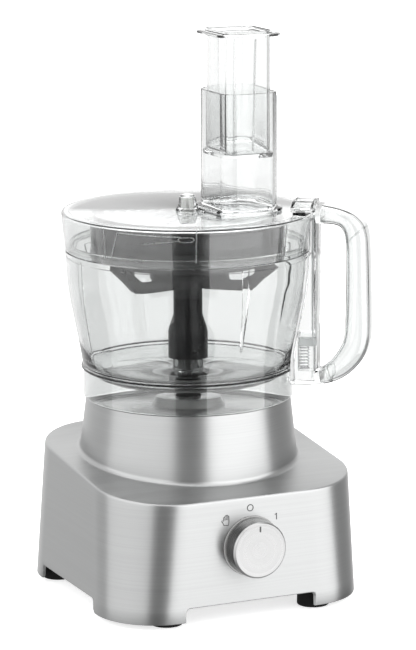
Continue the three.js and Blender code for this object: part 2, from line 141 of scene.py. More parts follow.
def wdot(vec):
    m = nt.nodes.new("ShaderNodeVectorMath")
    m.operation = "DOT_PRODUCT"
    nt.links.new(n_tc.outputs["Generated"], m.inputs[0])
    m.inputs[1].default_value = vec
    return m.outputs["Value"]


u, v, wz = wdot(B), wdot(R), wdot((0, 0, 1))
ang = wmath("ARCTAN2", v, u)                         # -pi..pi, 0 towards the photo's side
t = wmath("ADD", wmath("DIVIDE", ang, 2 * math.pi), 0.5)


def wramp(stops):
    rp = nt.nodes.new("ShaderNodeValToRGB")
    nt.links.new(t, rp.inputs["Fac"])
    er = rp.color_ramp
    while len(er.elements) > 1:
        er.elements.remove(er.elements[-1])
    for i, (a, val) in enumerate(stops):
        p = a / 360.0 + 0.5
        e = er.elements[0] if i == 0 else er.elements.new(p)
        e.position = p
        e.color = (val, val, val, 1)
    return rp.outputs["Color"]


def wstep(lo, hi):
    m = nt.nodes.new("ShaderNodeMapRange")
    m.interpolation_type = "SMOOTHSTEP"
    nt.links.new(wz, m.inputs["Value"])
    m.inputs["From Min"].default_value = lo
    m.inputs["From Max"].default_value = hi
    return m.outputs["Result"]


def wmix(fac, ca, cb):
    m = nt.nodes.new("ShaderNodeMix")
    m.data_type = "RGBA"
    nt.links.new(fac, m.inputs["Factor"])
    for i, c in (("A", ca), ("B", cb)):
        if isinstance(c, tuple):
            m.inputs[i].default_value = (*c, 1)
        else:
            nt.links.new(c, m.inputs[i])
    return m.outputs["Result"]


mid = wramp([(-180, 1.02), (-163, 1.02), (-146, 1.12), (-100, 1.0), (-92, 0.8), (-16, 0.7), (-8, 0.55), (14, 0.53), (20, 0.8),
             (90, 0.8), (102, 0.62), (142, 0.64), (160, 1.0), (180, 1.02)])
low = wramp([(-180, 1.02), (-163, 1.0), (-146, 0.8), (-100, 0.6), (-92, 0.6), (-16, 0.5), (-12, 0.12), (17, 0.12), (21, 0.6),
             (90, 0.6), (102, 0.24), (142, 0.26), (160, 0.95), (180, 1.02)])
high = wramp([(-180, 1.5), (-150, 1.5), (-100, 1.3), (-92, 1.5), (-20, 1.5), (-9, 0.42), (12, 0.4), (24, 1.5),
              (90, 1.3), (104, 0.65), (138, 0.8), (158, 1.4), (180, 1.5)])
sides = wmix(wstep(-0.33, -0.25), low, wmix(wstep(0.02, 0.16), mid, high))
whole = wmix(wstep(0.8, 0.97), sides, (0.9, 0.9, 0.9))
nt.links.new(whole, n_bg.inputs["Color"])
n_bg.inputs["Strength"].default_value = 1.0
nt.links.new(n_bg.outputs[0], n_out.inputs["Surface"])


# ------------------------------------------------------------------ material helpers
def new_mat(name):
    m = bpy.data.materials.new(name)
    m.use_nodes = True
    t = m.node_tree
    bs = t.nodes.get("Principled BSDF")
    return m, t, bs


def node(t, kind, **kw):
    n = t.nodes.new(kind)
    for k, v in kw.items():
        if k in n.inputs:
            n.inputs[k].default_value = v
        else:
            setattr(n, k, v)
    return n


def coords(t, scale=(1, 1, 1), rot=(0, 0, 0)):
    tc = t.nodes.new("ShaderNodeTexCoord")
    mp = t.nodes.new("ShaderNodeMapping")
    mp.inputs["Scale"].default_value = scale
    mp.inputs["Rotation"].default_value = rot
    t.links.new(tc.outputs["Object"], mp.inputs["Vector"])
    return mp.outputs["Vector"]


def noise(t, vec, scale, detail=3.0, rough=0.55):
    n = node(t, "ShaderNodeTexNoise", Scale=scale, Detail=detail, Roughness=rough)
    t.links.new(vec, n.inputs["Vector"])
    return n.outputs["Fac"]


def mapr(t, fac, a, b, lo=0.3, hi=0.7):
    n = node(t, "ShaderNodeMapRange")
    t.links.new(fac, n.inputs["Value"])
    n.inputs["From Min"].default_value = lo
    n.inputs["From Max"].default_value = hi
    n.inputs["To Min"].default_value = a
    n.inputs["To Max"].default_value = b
    return n.outputs["Result"]


def colour_mix(t, fac, ca, cb):
    n = t.nodes.new("ShaderNodeMix")
    n.data_type = "RGBA"
    t.links.new(fac, n.inputs["Factor"])
    n.inputs["A"].default_value = (*ca, 1)
    n.inputs["B"].default_value = (*cb, 1)
    return n.outputs["Result"]


def bump(t, bs, height, strength, dist):
    b = node(t, "ShaderNodeBump", Strength=strength, Distance=dist)
    t.links.new(height, b.inputs["Height"])
    t.links.new(b.outputs["Normal"], bs.inputs["Normal"])
    return b


def m_brushed(name, base, rough=0.3, aniso=0.6, scale=(3, 3, 900), strength=0.12, axis="Z", metallic=1.0):
    m, t, bs = new_mat(name)
    v = coords(t, scale)
    f = noise(t, v, 1.0, 4.0, 0.6)
    v2 = coords(t, (scale[0] * 6, scale[1] * 6, scale[2] * 3))
    f2 = noise(t, v2, 1.0, 2.0, 0.5)
    add = node(t, "ShaderNodeMath", operation="ADD")
    t.links.new(f, add.inputs[0])
    t.links.new(f2, add.inputs[1])
    lo = tuple(c * 0.965 for c in base)
    hi = tuple(min(1, c * 1.03) for c in base)
    t.links.new(colour_mix(t, mapr(t, f, 0, 1, 0.35, 0.65), lo, hi), bs.inputs["Base Color"])
    t.links.new(mapr(t, add.outputs[0], rough - 0.035, rough + 0.045, 0.7, 1.3), bs.inputs["Roughness"])
    bs.inputs["Metallic"].default_value = metallic
    bs.inputs["Anisotropic"].default_value = aniso
    bs.inputs["Anisotropic Rotation"].default_value = 0.25
    tg = t.nodes.new("ShaderNodeTangent")
    tg.direction_type = "RADIAL"
    tg.axis = axis
    t.links.new(tg.outputs[0], bs.inputs["Tangent"])
    bump(t, bs, add.outputs[0], strength, 0.00012)
    return m


def m_plastic(name, base, rough=0.45, grain=2200, strength=0.12, var=0.06, spec=0.5):
    m, t, bs = new_mat(name)
    v = coords(t)
    f = noise(t, v, grain, 2.0)
    g = noise(t, v, 35, 3.0)
    t.links.new(colour_mix(t, mapr(t, g, 0, 1), tuple(c * (1 - var) for c in base), tuple(min(1, c * (1 + var)) for c in base)), bs.inputs["Base Color"])
    t.links.new(mapr(t, g, rough - 0.05, rough + 0.05), bs.inputs["Roughness"])
    bs.inputs["Specular IOR Level"].default_value = spec
    bump(t, bs, f, strength, 0.0001)
    return m


def m_clear(name, tint=(0.955, 0.968, 0.965), rough=0.025, ior=1.57, wave=0.05):
    m, t, bs = new_mat(name)
    v = coords(t, (1, 1, 0.45))
    g = noise(t, v, 22, 2.0, 0.45)
    f = noise(t, v, 420, 2.0)
    t.links.new(colour_mix(t, mapr(t, g, 0, 1), tuple(c * 0.985 for c in tint), tint), bs.inputs["Base Color"])
    t.links.new(mapr(t, f, rough * 0.6, rough * 1.7), bs.inputs["Roughness"])
    bs.inputs["Transmission Weight"].default_value = 1.0
    bs.inputs["IOR"].default_value = ior
    bump(t, bs, g, wave, 0.0012)
    return m


def m_steel(name, base=(0.6, 0.6, 0.61), rough=0.22, scale=900):
    m, t, bs = new_mat(name)
    v = coords(t)
    f = noise(t, v, scale, 3.0)
    t.links.new(colour_mix(t, f, tuple(c * 0.93 for c in base), tuple(min(1, c * 1.06) for c in base)), bs.inputs["Base Color"])
    t.links.new(mapr(t, f, rough - 0.05, rough + 0.08), bs.inputs["Roughness"])
    bs.inputs["Metallic"].default_value = 1.0
    bump(t, bs, f, 0.05, 0.00008)
    return m


MAT = {
    "housing": m_brushed("housing_brushed", (0.33, 0.333, 0.333), 0.35, 0.75, strength=0.07),
    "clear": m_clear("clear_bowl", (0.83, 0.841, 0.838), 0.02, 1.46, 0.03),
    "clear_lid": m_clear("clear_lid", (0.88, 0.89, 0.888), 0.03, 1.5, 0.02),
    "frost": m_clear("clear_moulded_line", (0.97, 0.98, 0.98), 0.28, 1.5, 0.0),
    "seal_clear": m_clear("seal_silicone_clear", (0.8, 0.81, 0.8), 0.1, 1.42, 0.02),
    "clear_thick": m_clear("clear_handle", (0.93, 0.94, 0.937), 0.02, 1.57, 0.03),
    "clear_chute": m_clear("clear_chute", (0.955, 0.962, 0.96), 0.03, 1.4, 0.01),
    "clear_nose": m_clear("clear_nose", (0.955, 0.962, 0.96), 0.05, 1.3, 0.0),
    "clear_column": m_clear("clear_column", (0.95, 0.957, 0.955), 0.03, 1.36, 0.01),
    "drum": m_plastic("black_drum", (0.006, 0.006, 0.0065), 0.16, 1800, 0.04, spec=0.85),
    "clear_fin": m_clear("clear_fin", (0.62, 0.63, 0.63), 0.05, 1.42, 0.0),
    "black": m_plastic("black_plastic", (0.005, 0.005, 0.0055), 0.24, 1800, 0.05, spec=0.2),
    "dark": m_plastic("dark_plastic", (0.035, 0.036, 0.038), 0.4, 1500, 0.15),
    "grey": m_plastic("grey_plastic", (0.2, 0.2, 0.197), 0.2, 1500, 0.05, spec=0.9),
    "rubber": m_plastic("rubber_black", (0.004, 0.004, 0.004), 0.8, 2600, 0.35, spec=0.15),
    "seal": m_plastic("seal_silicone", (0.55, 0.555, 0.55), 0.5, 900, 0.05),
    "white": m_plastic("white_plastic", (0.74, 0.74, 0.72), 0.4, 1200, 0.05),
    "steel": m_steel("steel_plain"),
    "disc": m_steel("steel_disc", (0.7, 0.705, 0.71), 0.16),
    "alu_cast": m_steel("aluminium_cast", (0.55, 0.555, 0.56), 0.5, 500),
    "lam": m_brushed("laminations", (0.2, 0.21, 0.22), 0.5, 0.3, (2, 2, 2600), 0.5),
    "copper": m_brushed("coil_copper", (0.55, 0.24, 0.11), 0.35, 0.2, (2, 2, 1400), 0.6),
    "board": m_plastic("board_green", (0.03, 0.14, 0.06), 0.4, 600, 0.1),
    "rod": m_plastic("rod_pale", (0.62, 0.64, 0.64), 0.35, 1200, 0.05),
    "ink": m_plastic("mark_ink", (0.035, 0.035, 0.035), 0.55, 1500, 0.05),
}


def m_knob():
    """Turned metal: fine rings about the knob's own axis, which runs front to back."""
    m, t, bs = new_mat("knob_turned")
    klo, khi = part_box("control_knob")
    cx, cz = (klo[0] + khi[0]) / 2, (klo[2] + khi[2]) / 2
    tc = t.nodes.new("ShaderNodeTexCoord")
    sub = node(t, "ShaderNodeVectorMath", operation="SUBTRACT")
    t.links.new(tc.outputs["Object"], sub.inputs[0])
    sub.inputs[1].default_value = (cx, 0, cz)
    mul = node(t, "ShaderNodeVectorMath", operation="MULTIPLY")
    t.links.new(sub.outputs[0], mul.inputs[0])
    mul.inputs[1].default_value = (1, 0, 1)
    ln = node(t, "ShaderNodeVectorMath", operation="LENGTH")
    t.links.new(mul.outputs[0], ln.inputs[0])
    sep = t.nodes.new("ShaderNodeSeparateXYZ")
    t.links.new(sub.outputs[0], sep.inputs[0])
    comb = t.nodes.new("ShaderNodeCombineXYZ")
    t.links.new(ln.outputs["Value"], comb.inputs[0])
    t.links.new(sep.outputs["Y"], comb.inputs[1])
    f = noise(t, comb.outputs[0], 2600, 3.0, 0.6)
    g = noise(t, comb.outputs[0], 500, 2.0, 0.5)
    t.links.new(colour_mix(t, f, (0.28, 0.28, 0.28), (0.33, 0.33, 0.33)), bs.inputs["Base Color"])
    t.links.new(mapr(t, g, 0.24, 0.33), bs.inputs["Roughness"])
    bs.inputs["Metallic"].default_value = 1.0
    bs.inputs["Anisotropic"].default_value = 0.6
    tg = t.nodes.new("ShaderNodeTangent")
    tg.direction_type = "RADIAL"
    tg.axis = "Y"
    t.links.new(tg.outputs[0], bs.inputs["Tangent"])
    bump(t, bs, f, 0.12, 0.00008)
    return m


MAT["knob"] = m_knob()

fl_m, fl_t, fl_b = new_mat("floor_white")
fl_b.inputs["Base Color"].default_value = (0.68, 0.68, 0.68, 1)
fl_b.inputs["Roughness"].default_value = 0.6
fl_b.inputs["Specular IOR Level"].default_value = 0.2
fl_b.inputs["Emission Color"].default_value = (1, 1, 1, 1)
fl_b.inputs["Emission Strength"].default_value = 0.7


# ------------------------------------------------------------------ mesh helpers
def add(name, verts, faces, mat, body=None, replaces=(), slot=None, smooth=True, sharp=32.0, mm=True):
    me = bpy.data.meshes.new(name)
    vs = [W(p) for p in verts] if mm else [tuple(p) for p in verts]
    me.from_pydata(vs, [], [tuple(f) for f in faces])
    me.validate()
    bm = bmesh.new()
    bm.from_mesh(me)
    bmesh.ops.remove_doubles(bm, verts=bm.verts, dist=2e-7)
    bmesh.ops.dissolve_degenerate(bm, edges=bm.edges, dist=1e-7)
    bmesh.ops.recalc_face_normals(bm, faces=bm.faces)
    bm.to_mesh(me)
    bm.free()
    if smooth:
        me.polygons.foreach_set("use_smooth", [True] * len(me.polygons))
        me.set_sharp_from_angle(angle=rad(sharp))
    o = bpy.data.objects.new(name, me)
    bpy.context.scene.collection.objects.link(o)
    me.materials.append(MAT[mat] if isinstance(mat, str) else mat)
    if body:
        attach(o, body)
    if replaces:
        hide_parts(*replaces)
    return o


def flip_if_needed(o):
    """Faces point out: the signed volume of the closed mesh is positive."""
    bm = bmesh.new()
    bm.from_mesh(o.data)
    if bm.calc_volume(signed=True) < 0:
        bmesh.ops.reverse_faces(bm, faces=bm.faces)
        bm.to_mesh(o.data)
    bm.free()


def rounded(pts, seg=4):
    """Closed profile from (a, b, radius) corners, each corner rounded."""
    out = []
    n = len(pts)
    for i in range(n):
        p0, p1, p2 = pts[i - 1], pts[i], pts[(i + 1) % n]
        r = p1[2] if len(p1) > 2 else 0
        a = Vector((p1[0], p1[1]))
        if r <= 0:
            out.append((a.x, a.y))
            continue
        d0 = (Vector((p0[0], p0[1])) - a)
        d2 = (Vector((p2[0], p2[1])) - a)
        l0, l2 = d0.length, d2.length
        d0.normalize()
        d2.normalize()
        cosang = max(-0.9999, min(0.9999, d0.dot(d2)))
        half = math.acos(cosang) / 2
        cutd = min(r / math.tan(half), l0 * 0.49, l2 * 0.49)
        r = cutd * math.tan(half)
        bis = (d0 + d2)
        if bis.length < 1e-6:
            out.append((a.x, a.y))
            continue
        bis.normalize()
        c = a + bis * (r / math.sin(half))
        s = a + d0 * cutd
        e = a + d2 * cutd
        a0 = math.atan2(s.y - c.y, s.x - c.x)
        a1 = math.atan2(e.y - c.y, e.x - c.x)
        da = (a1 - a0 + math.pi) % (2 * math.pi) - math.pi
        for k in range(seg + 1):
            ph = a0 + da * k / seg
            out.append((c.x + r * math.cos(ph), c.y + r * math.sin(ph)))
    return out


def lathe(name, prof, n, mat, body, replaces=(), slot=None, sharp=32.0, cx=0.0, cy=0.0, mod=None, centre=None):
    """Closed (r, z) profile turned about the vertical through (cx, cy). mod(r, z, th) -> r changes the radius."""
    verts, faces, rings = [], [], []
    for (r, z) in prof:
        if r < 1e-6:
            rings.append([len(verts)])
            verts.append((cx, cy, z))
        else:
            ring = []
            for i in range(n):
                th = 2 * math.pi * i / n
                rr = mod(r, z, th) if mod else r
                ring.append(len(verts))
                verts.append((cx + rr * math.cos(th), cy + rr * math.sin(th), z))
            rings.append(ring)
    m = len(rings)
    for j in range(m):
        a, b = rings[j], rings[(j + 1) % m]
        if len(a) == 1 and len(b) == 1:
            continue
        for i in range(n):
            k = (i + 1) % n
            if len(a) == 1:
                faces.append((a[0], b[k], b[i]))
            elif len(b) == 1:
                faces.append((a[i], a[k], b[0]))
            else:
                faces.append((a[i], a[k], b[k], b[i]))
    return add(name, verts, faces, mat, body, replaces, slot, sharp=sharp)


def stack(rings, close=True, cap0=False, cap1=False):
    """Rings of equal length joined by quads. close joins the last ring to the first."""
    n = len(rings[0])
    verts = [p for r in rings for p in r]
    faces = []
    m = len(rings)
    for j in range(m if close else m - 1):
        a, b = j * n, ((j + 1) % m) * n
        for i in range(n):
            k = (i + 1) % n
            faces.append((a + i, a + k, b + k, b + i))
    if cap0:
        faces.append(tuple(range(n - 1, -1, -1)))
    if cap1:
        faces.append(tuple((m - 1) * n + i for i in range(n)))
    return verts, faces


def rr_ring(w, d, r, z, cx, cy, seg=10):
    pts = []
    r = max(r, 0.01)
    for sx, sy, a0 in ((1, 1, 0), (-1, 1, 90), (-1, -1, 180), (1, -1, 270)):
        for k in range(seg + 1):
            a = rad(a0 + 90.0 * k / seg)
            pts.append((cx + sx * (w / 2 - r) + r * math.cos(a), cy + sy * (d / 2 - r) + r * math.sin(a), z))
    return pts


def rr_solid(name, levels, mat, body, replaces=(), slot=None, cx=0, cy=0, seg=10, close=True, cap0=False, cap1=False, sharp=32.0):
    """levels: (width, depth, corner radius, z), in order round the section."""
    v, f = stack([rr_ring(w, d, r, z, cx, cy, seg) for w, d, r, z in levels], close, cap0, cap1)
    return add(name, v, f, mat, body, replaces, slot, sharp=sharp)


def plate2d(name, outlines, thick, bevel, place, mat, body=None, replaces=(), slot=None, sharp=32.0, res=2):
    """Flat outline with holes, given thickness and rounded edges. place(x, y, t) -> mm position."""
    cu = bpy.data.curves.new(name, "CURVE")
    cu.dimensions = "2D"
    cu.fill_mode = "BOTH"
    for pts in outlines:
        sp = cu.splines.new("POLY")
        sp.points.add(len(pts) - 1)
        for i, p in enumerate(pts):
            sp.points[i].co = (p[0], p[1], 0, 1)
        sp.use_cyclic_u = True
    cu.extrude = thick / 2 - bevel
    cu.bevel_depth = bevel
    cu.bevel_resolution = res
    cu.offset = -bevel
    co = bpy.data.objects.new(name + "_c", cu)
    bpy.context.scene.collection.objects.link(co)
    dg = bpy.context.evaluated_depsgraph_get()
    me = bpy.data.meshes.new_from_object(co.evaluated_get(dg))
    vs = [place(v.co.x, v.co.y, v.co.z) for v in me.vertices]
    fs = [tuple(p.vertices) for p in me.polygons]
    bpy.data.objects.remove(co)
    bpy.data.curves.remove(cu)
    bpy.data.meshes.remove(me)
    return add(name, vs, fs, mat, body, replaces, slot, sharp=sharp)


HA = rad(-38)
HC, HS = math.cos(HA), math.sin(HA)


def on_handle(rho, z, t):
    """A point in the handle's plane: rho out from the bowl axis, t across the plane."""
    return (rho * HC - t * HS, rho * HS + t * HC, z)


# ------------------------------------------------------------------ base housing
BOT = dict(x=128.0, y0=-137.2, y1=115.8, r=59.0)
TOP = dict(x=124.1, y0=-137.2, y1=107.5, r=68.0)
ROOF_Z, ROOF_S = 124.5, 0.104
RC0, RC1, COLLAR_Z = 101.4, 95.7, 178.2


def outline(t):
    return {k: BOT[k] + (TOP[k] - BOT[k]) * t for k in BOT}


def radius_of(o, inset, th):
    c, s = math.cos(th), math.sin(th)
    cy, hx, hy, r = (o["y0"] + o["y1"]) / 2, o["x"], (o["y1"] - o["y0"]) / 2, o["r"]
    lo, hi = 0.0, 260.0
    for _ in range(36):
        m = (lo + hi) / 2
        qx, qy = abs(m * c) - (hx - r), abs(m * s - cy) - (hy - r)
        d = math.hypot(max(qx, 0), max(qy, 0)) + min(max(qx, qy), 0) - r
        if d < -inset:
            lo = m
        else:
            hi = m
    return lo


def roof(y):
    return ROOF_Z + ROOF_S * y


def arch_z(x, y, r_out):
    """Height of the housing's lower edge: 0 at the corner legs, raised between them."""
    def step(a):
        # a: distance inside the arch from its end
        if a <= 0:
            return 0.0
        if a >= 4.5:
            return 13.0
        if a < 0.35:
            return 8.6 * a / 0.35
        q = (a - 0.35) / 4.15
        return 8.6 + 4.4 * math.sqrt(max(0.0, 1 - (1 - q) ** 2))
    if abs(y + 137.2) < 6 or abs(y - 115.8) < 6:
        return step(min(x + 65.0, 66.0 - x))
    if abs(abs(x) - 128.2) < 6:
        return step(min(y + 71.0, 55.0 - y))
    return 0.0


def housing():
    th = set(2 * math.pi * i / 336 for i in range(336))
    for a in (0.0, 0.05, 0.35, 0.8, 1.6, 3.0, 4.5):
        for (x, y) in ((-65 + a, -137.2), (66 - a, -137.2), (-65 + a, 115.8), (66 - a, 115.8), (-128.2, -71 + a), (-128.2, 55 - a), (128.2, -71 + a), (128.2, 55 - a)):
            th.add(math.atan2(y, x) % (2 * math.pi))
    th = sorted(th)
    keep = [th[0]]
    for a in th[1:]:
        if a - keep[-1] > 1e-5:
            keep.append(a)
    th = keep
    zb = []
    for a in th:
        r = radius_of(BOT, 0, a)
        zb.append(arch_z(r * math.cos(a), r * math.sin(a), r))
    rings = []

    def ring(f):
        pts = []
        for i, a in enumerate(th):
            r, z = f(a, zb[i])
            pts.append((r * math.cos(a), r * math.sin(a), z))
        rings.append(pts)

    def skin(t, inset, dz=0.0):
        def g(a, b):
            o = outline(t)
            r = radius_of(o, inset, a)
            return r, max(roof(r * math.sin(a)) * t + dz, b + 1.0)
        return g

    def low(inset, dz):
        def g(a, b):
            o = outline(min(1, b / 124.0))
            return radius_of(o, inset, a), b + dz
        return g
    ring(low(2.6, 0.0)); ring(low(1.0, 0.0)); ring(low(0.35, 0.2)); ring(low(0.0, 0.9))
    for t in (0.125, 0.2, 0.35, 0.5, 0.65, 0.8, 0.9, 0.955):
        ring(skin(t, 0))
    e = 2.0
    for k in range(0, 7):
        a_ = rad(90.0 * k / 6)
        ins, dz = e * (1 - math.cos(a_)), -e * (1 - math.sin(a_))
        ring(lambda a, b, ins=ins, dz=dz: (lambda r: (r, roof(r * math.sin(a)) + dz))(radius_of(TOP, ins, a)))

    def fil(a):
        return max(2.0, min(4.5, radius_of(TOP, 2.6, a) - 0.6 - RC0))
    for q in (0.2, 0.5, 0.8):
        ring(lambda a, b, q=q: (lambda r: (r, roof(r * math.sin(a))))(radius_of(TOP, 2.0, a) * (1 - q) + (RC0 + fil(a)) * q))
    for k in range(0, 9):
        a_ = rad(90.0 * k / 8)
        def g(a, b, a_=a_):
            F = fil(a)
            r = RC0 + F - F * math.sin(a_)
            return r, roof((RC0 + F) * math.sin(a)) * (1 - k / 8) + roof(RC0 * math.sin(a)) * (k / 8) + F - F * math.cos(a_)
        ring(g)
    for q in (0.15, 0.35, 0.6, 0.85):
        ring(lambda a, b, q=q: (lambda z0: (RC0 + (RC1 - RC0) * q, z0 + (COLLAR_Z - 1.3 - z0) * q))(roof(RC0 * math.sin(a)) + fil(a)))
    for k in range(0, 6):
        a_ = rad(90.0 * k / 5)
        ring(lambda a, b, a_=a_: (RC1 - 1.3 + 1.3 * math.cos(a_), COLLAR_Z - 1.3 + 1.3 * math.sin(a_)))
    for r, z in ((93.6, COLLAR_Z), (92.9, COLLAR_Z - 0.5), (92.4, COLLAR_Z - 1.9), (90.8, COLLAR_Z - 2.2), (90.3, COLLAR_Z - 2.7), (90.3, 168), (92.6, 166), (94.5, 144)):
        ring(lambda a, b, r=r, z=z: (r, z))
    ring(lambda a, b: (97.4, roof(97.4 * math.sin(a)) + 3.0))
    ring(lambda a, b: (98.6, roof(98.6 * math.sin(a)) - 3.4))
    ring(lambda a, b: (lambda r: (r, roof(r * math.sin(a)) - 3.4))(radius_of(TOP, 4.2, a)))
    ring(lambda a, b: (lambda r: (r, roof(r * math.sin(a)) * 0.5))(radius_of(outline(0.5), 3.0, a)))
    ring(low(3.0, 1.2))
    v, f = stack(rings, True)
    return add("housing_shell", v, f, "housing", "base", ("base_housing",), "housing_alu", sharp=40)


housing()

# deck inside the collar, with its hub and drip channel
deck_prof = rounded([(8.6, 173.4, 0.3), (89.9, 173.4, 0.4), (89.9, 175.9, 0.5), (84, 175.9, 0.4), (83, 174.9, 0.4), (78, 174.9, 0.4), (77, 175.9, 0.4),
                     (34, 175.9, 2.0), (30.2, 184.0, 1.4), (12.2, 184.0, 0.4), (12.0, 183.2, 0.2), (8.6, 183.2, 0.2)], 3)
lathe("deck_top", deck_prof, 128, "grey", "base", ("deck_plate",), "plastic_grey")

# shaft seal: lip ring
lathe("shaft_lip_seal", rounded([(7.35, 184.2, 0.2), (11.6, 184.2, 0.4), (11.6, 185.6, 0.5), (8.8, 187.6, 0.3), (7.35, 187.6, 0.15)], 3), 64, "rubber", "base", ("shaft_seal",), "rubber_black")

# feet: turned rubber with a moulded ring and screw recess
for nm in ("foot_front_left", "foot_front_right", "foot_back_left", "foot_back_right"):
    lo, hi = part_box(nm)
    fx, fy = ((lo[0] + hi[0]) / 2 - OX) * 1000, ((lo[1] + hi[1]) / 2 - OY) * 1000
    lathe(nm + "_rubber", rounded([(2.5, 5, 0.2), (5.4, 5, 0.2), (5.5, -4.9, 0.5), (9.0, -5.0, 0.1), (9.4, -4.5, 0.2), (10.6, -4.5, 0.2), (11.0, -5.0, 0.1), (15, -5, 1.2),
                                   (14.7, 6.0, 0.3), (15.0, 7.0, 0.3), (14.4, 13.4, 0.4), (2.5, 13.4, 0.2)], 3), 64, "rubber", "base", (nm,), "rubber_black", cx=fx, cy=fy)

# ------------------------------------------------------------------ knob and dial marks
klo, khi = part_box("control_knob")
KZ = ((klo[2] + khi[2]) / 2 - OZ) * 1000
KY0 = -137.5


def turn_y(name, prof, n, mat, body, replaces=(), slot=None, cx=0.0, cz=65.0, sharp=32.0):
    """Closed (r, depth) profile turned about a line along -Y from the front face."""
    verts, faces, rings = [], [], []
    for (r, h) in prof:
        if r < 1e-6:
            rings.append([len(verts)])
            verts.append((cx, KY0 - h, cz))
        else:
            rings.append([len(verts) + i for i in range(n)])
            for i in range(n):
                th = 2 * math.pi * i / n
                verts.append((cx + r * math.cos(th), KY0 - h, cz + r * math.sin(th)))
    m = len(rings)
    for j in range(m):
        a, b = rings[j], rings[(j + 1) % m]
        if len(a) == 1 and len(b) == 1:
            continue
        for i in range(n):
            k = (i + 1) % n
            if len(a) == 1:
                faces.append((a[0], b[k], b[i]))
            elif len(b) == 1:
                faces.append((a[i], a[k], b[0]))
            else:
                faces.append((a[i], a[k], b[k], b[i]))
    return add(name, verts, faces, mat, body, replaces, slot, sharp=sharp)


knob_prof = rounded([(0, 0.3, 0), (3.9, 0.3, 0.3), (3.9, 1.5, 0.2), (24.6, 1.5, 0.3), (26.5, 2.4, 0.6), (26.1, 17.2, 0.9), (24.6, 19.0, 0.7), (22.0, 18.75, 1.0), (0, 18.2, 0)], 5)
turn_y("knob_body", knob_prof, 160, "knob", "knob", ("control_knob",), "knob_alu", cz=KZ)
# the bezel is black plastic; the grey plastic given here is painted light, a lighter colour standing in for the
# reflections it shows
turn_y("knob_ring", rounded([(24.2, 0.05, 0.1), (27.9, 0.05, 0.3), (27.7, 1.0, 0.3), (24.2, 1.0, 0.1)], 3), 128, "grey", "base", ("knob_bezel",), "plastic_black", cz=KZ)


def slab(name, poly, y0, y1, mat, body, slot=None, cz=0.0, cx=0.0):
    """Thin plate on the front: poly in (x, z), from y0 (front) to y1."""
    n = len(poly)
    v = [(cx + x, y0, cz + z) for x, z in poly] + [(cx + x, y1, cz + z) for x, z in poly]
    f = [tuple(range(n)), tuple(range(2 * n - 1, n - 1, -1))] + [(i, (i + 1) % n, n + (i + 1) % n, n + i) for i in range(n)]
    return add(name, v, f, mat, body, slot=slot, smooth=False)


# pointer let into the knob's face
pp = [(0.75 * math.cos(rad(a)), 2.0 + 0.75 * math.sin(rad(a))) for a in range(0, 181, 20)] + [(0.75 * math.cos(rad(a)), -2.0 + 0.75 * math.sin(rad(a))) for a in range(180, 361, 20)]
slab("knob_pointer", pp, KY0 - 18.86, KY0 - 18.2, "ink", "knob", "plastic_black", cz=KZ + 19.8)


def stroke(points, w, closed=False):
    """Outline polygon of a stroke of width w along points (x, z)."""
    pts = [Vector(p) for p in points]
    n = len(pts)
    left, right = [], []
    for i, p in enumerate(pts):
        if closed:
            d = pts[(i + 1) % n] - pts[i - 1]
        elif i == 0:
            d = pts[1] - p
        elif i == n - 1:
            d = p - pts[i - 1]
        else:
            d = pts[i + 1] - pts[i - 1]
        d.normalize()
        nrm = Vector((-d.y, d.x))
        left.append(p + nrm * w / 2)
        right.append(p - nrm * w / 2)
    return left, right


def mark(name, points, w, closed, cx, cz):
    left, right = stroke(points, w, closed)
    n = len(left)
    y0, y1 = -137.36, -137.16
    v = []
    for y in (y0, y1):
        v += [(cx + p.x, y, cz + p.y) for p in left] + [(cx + p.x, y, cz + p.y) for p in right]
    f = []
    cnt = n if closed else n - 1
    for i in range(cnt):
        k = (i + 1) % n
        f.append((i, k, n + k, n + i))
        f.append((2 * n + n + i, 2 * n + n + k, 2 * n + k, 2 * n + i))
        f.append((k, i, 2 * n + i, 2 * n + k))
        f.append((n + i, n + k, 3 * n + k, 3 * n + i))
    if not closed:
        f.append((0, n, 3 * n, 2 * n))
        f.append((n - 1, 2 * n + n - 1, 3 * n + n - 1, 2 * n - 1))
    return add(name, v, f, "ink", "base", slot="plastic_black", smooth=False)


mark("mark_off_ring", [(2.9 * math.cos(2 * math.pi * i / 40), 2.9 * math.sin(2 * math.pi * i / 40)) for i in range(40)], 0.85, True, -1.1, 100.4)
mark("mark_on_digit", [(-1.3, 1.5), (0.3, 2.9), (0.3, -3.1)], 0.85, False, 24.9, 89.7)
# pulse sign: an open hand in outline
hand = [(-1.9, -4.3), (-3.2, -1.6), (-4.4, -0.1), (-3.9, 0.7), (-2.4, -0.4), (-2.3, 3.2), (-1.7, 3.7), (-1.1, 3.2), (-1.0, 4.4), (-0.4, 4.9), (0.2, 4.4), (0.3, 4.9), (0.9, 5.3), (1.5, 4.8),
        (1.6, 4.1), (2.1, 4.4), (2.7, 3.9), (2.9, -1.2), (2.3, -4.3)]
mark("mark_pulse_hand", hand, 0.72, True, -25.2, 91.0)
for i, (x, z0, z1) in enumerate(((-1.0, 0.4, 3.2), (0.3, 0.6, 4.2), (1.6, 0.5, 3.9))):
    mark("mark_pulse_finger_%d" % (i + 1), [(x, z0), (x, z1)], 0.6, False, -25.2, 91.0)

# ------------------------------------------------------------------ bowl
WB = [(203, 97.8), (210.4, 98.6), (218, 99.8), (225.6, 101.1), (233.2, 102.5), (240.8, 104.0), (248.4, 105.5), (256, 107.0), (263.6, 108.5), (271, 109.8), (278.8, 110.9), (286.4, 111.8), (294, 112.5), (303, 112.9)]


def wall(z):
    for (z0, r0), (z1, r1) in zip(WB, WB[1:]):
        if z <= z1:
            return r0 + (r1 - r0) * (z - z0) / (z1 - z0)
    return WB[-1][1]


RIB = [rad(a) for a in (-86, 4, 94, 183.5)]


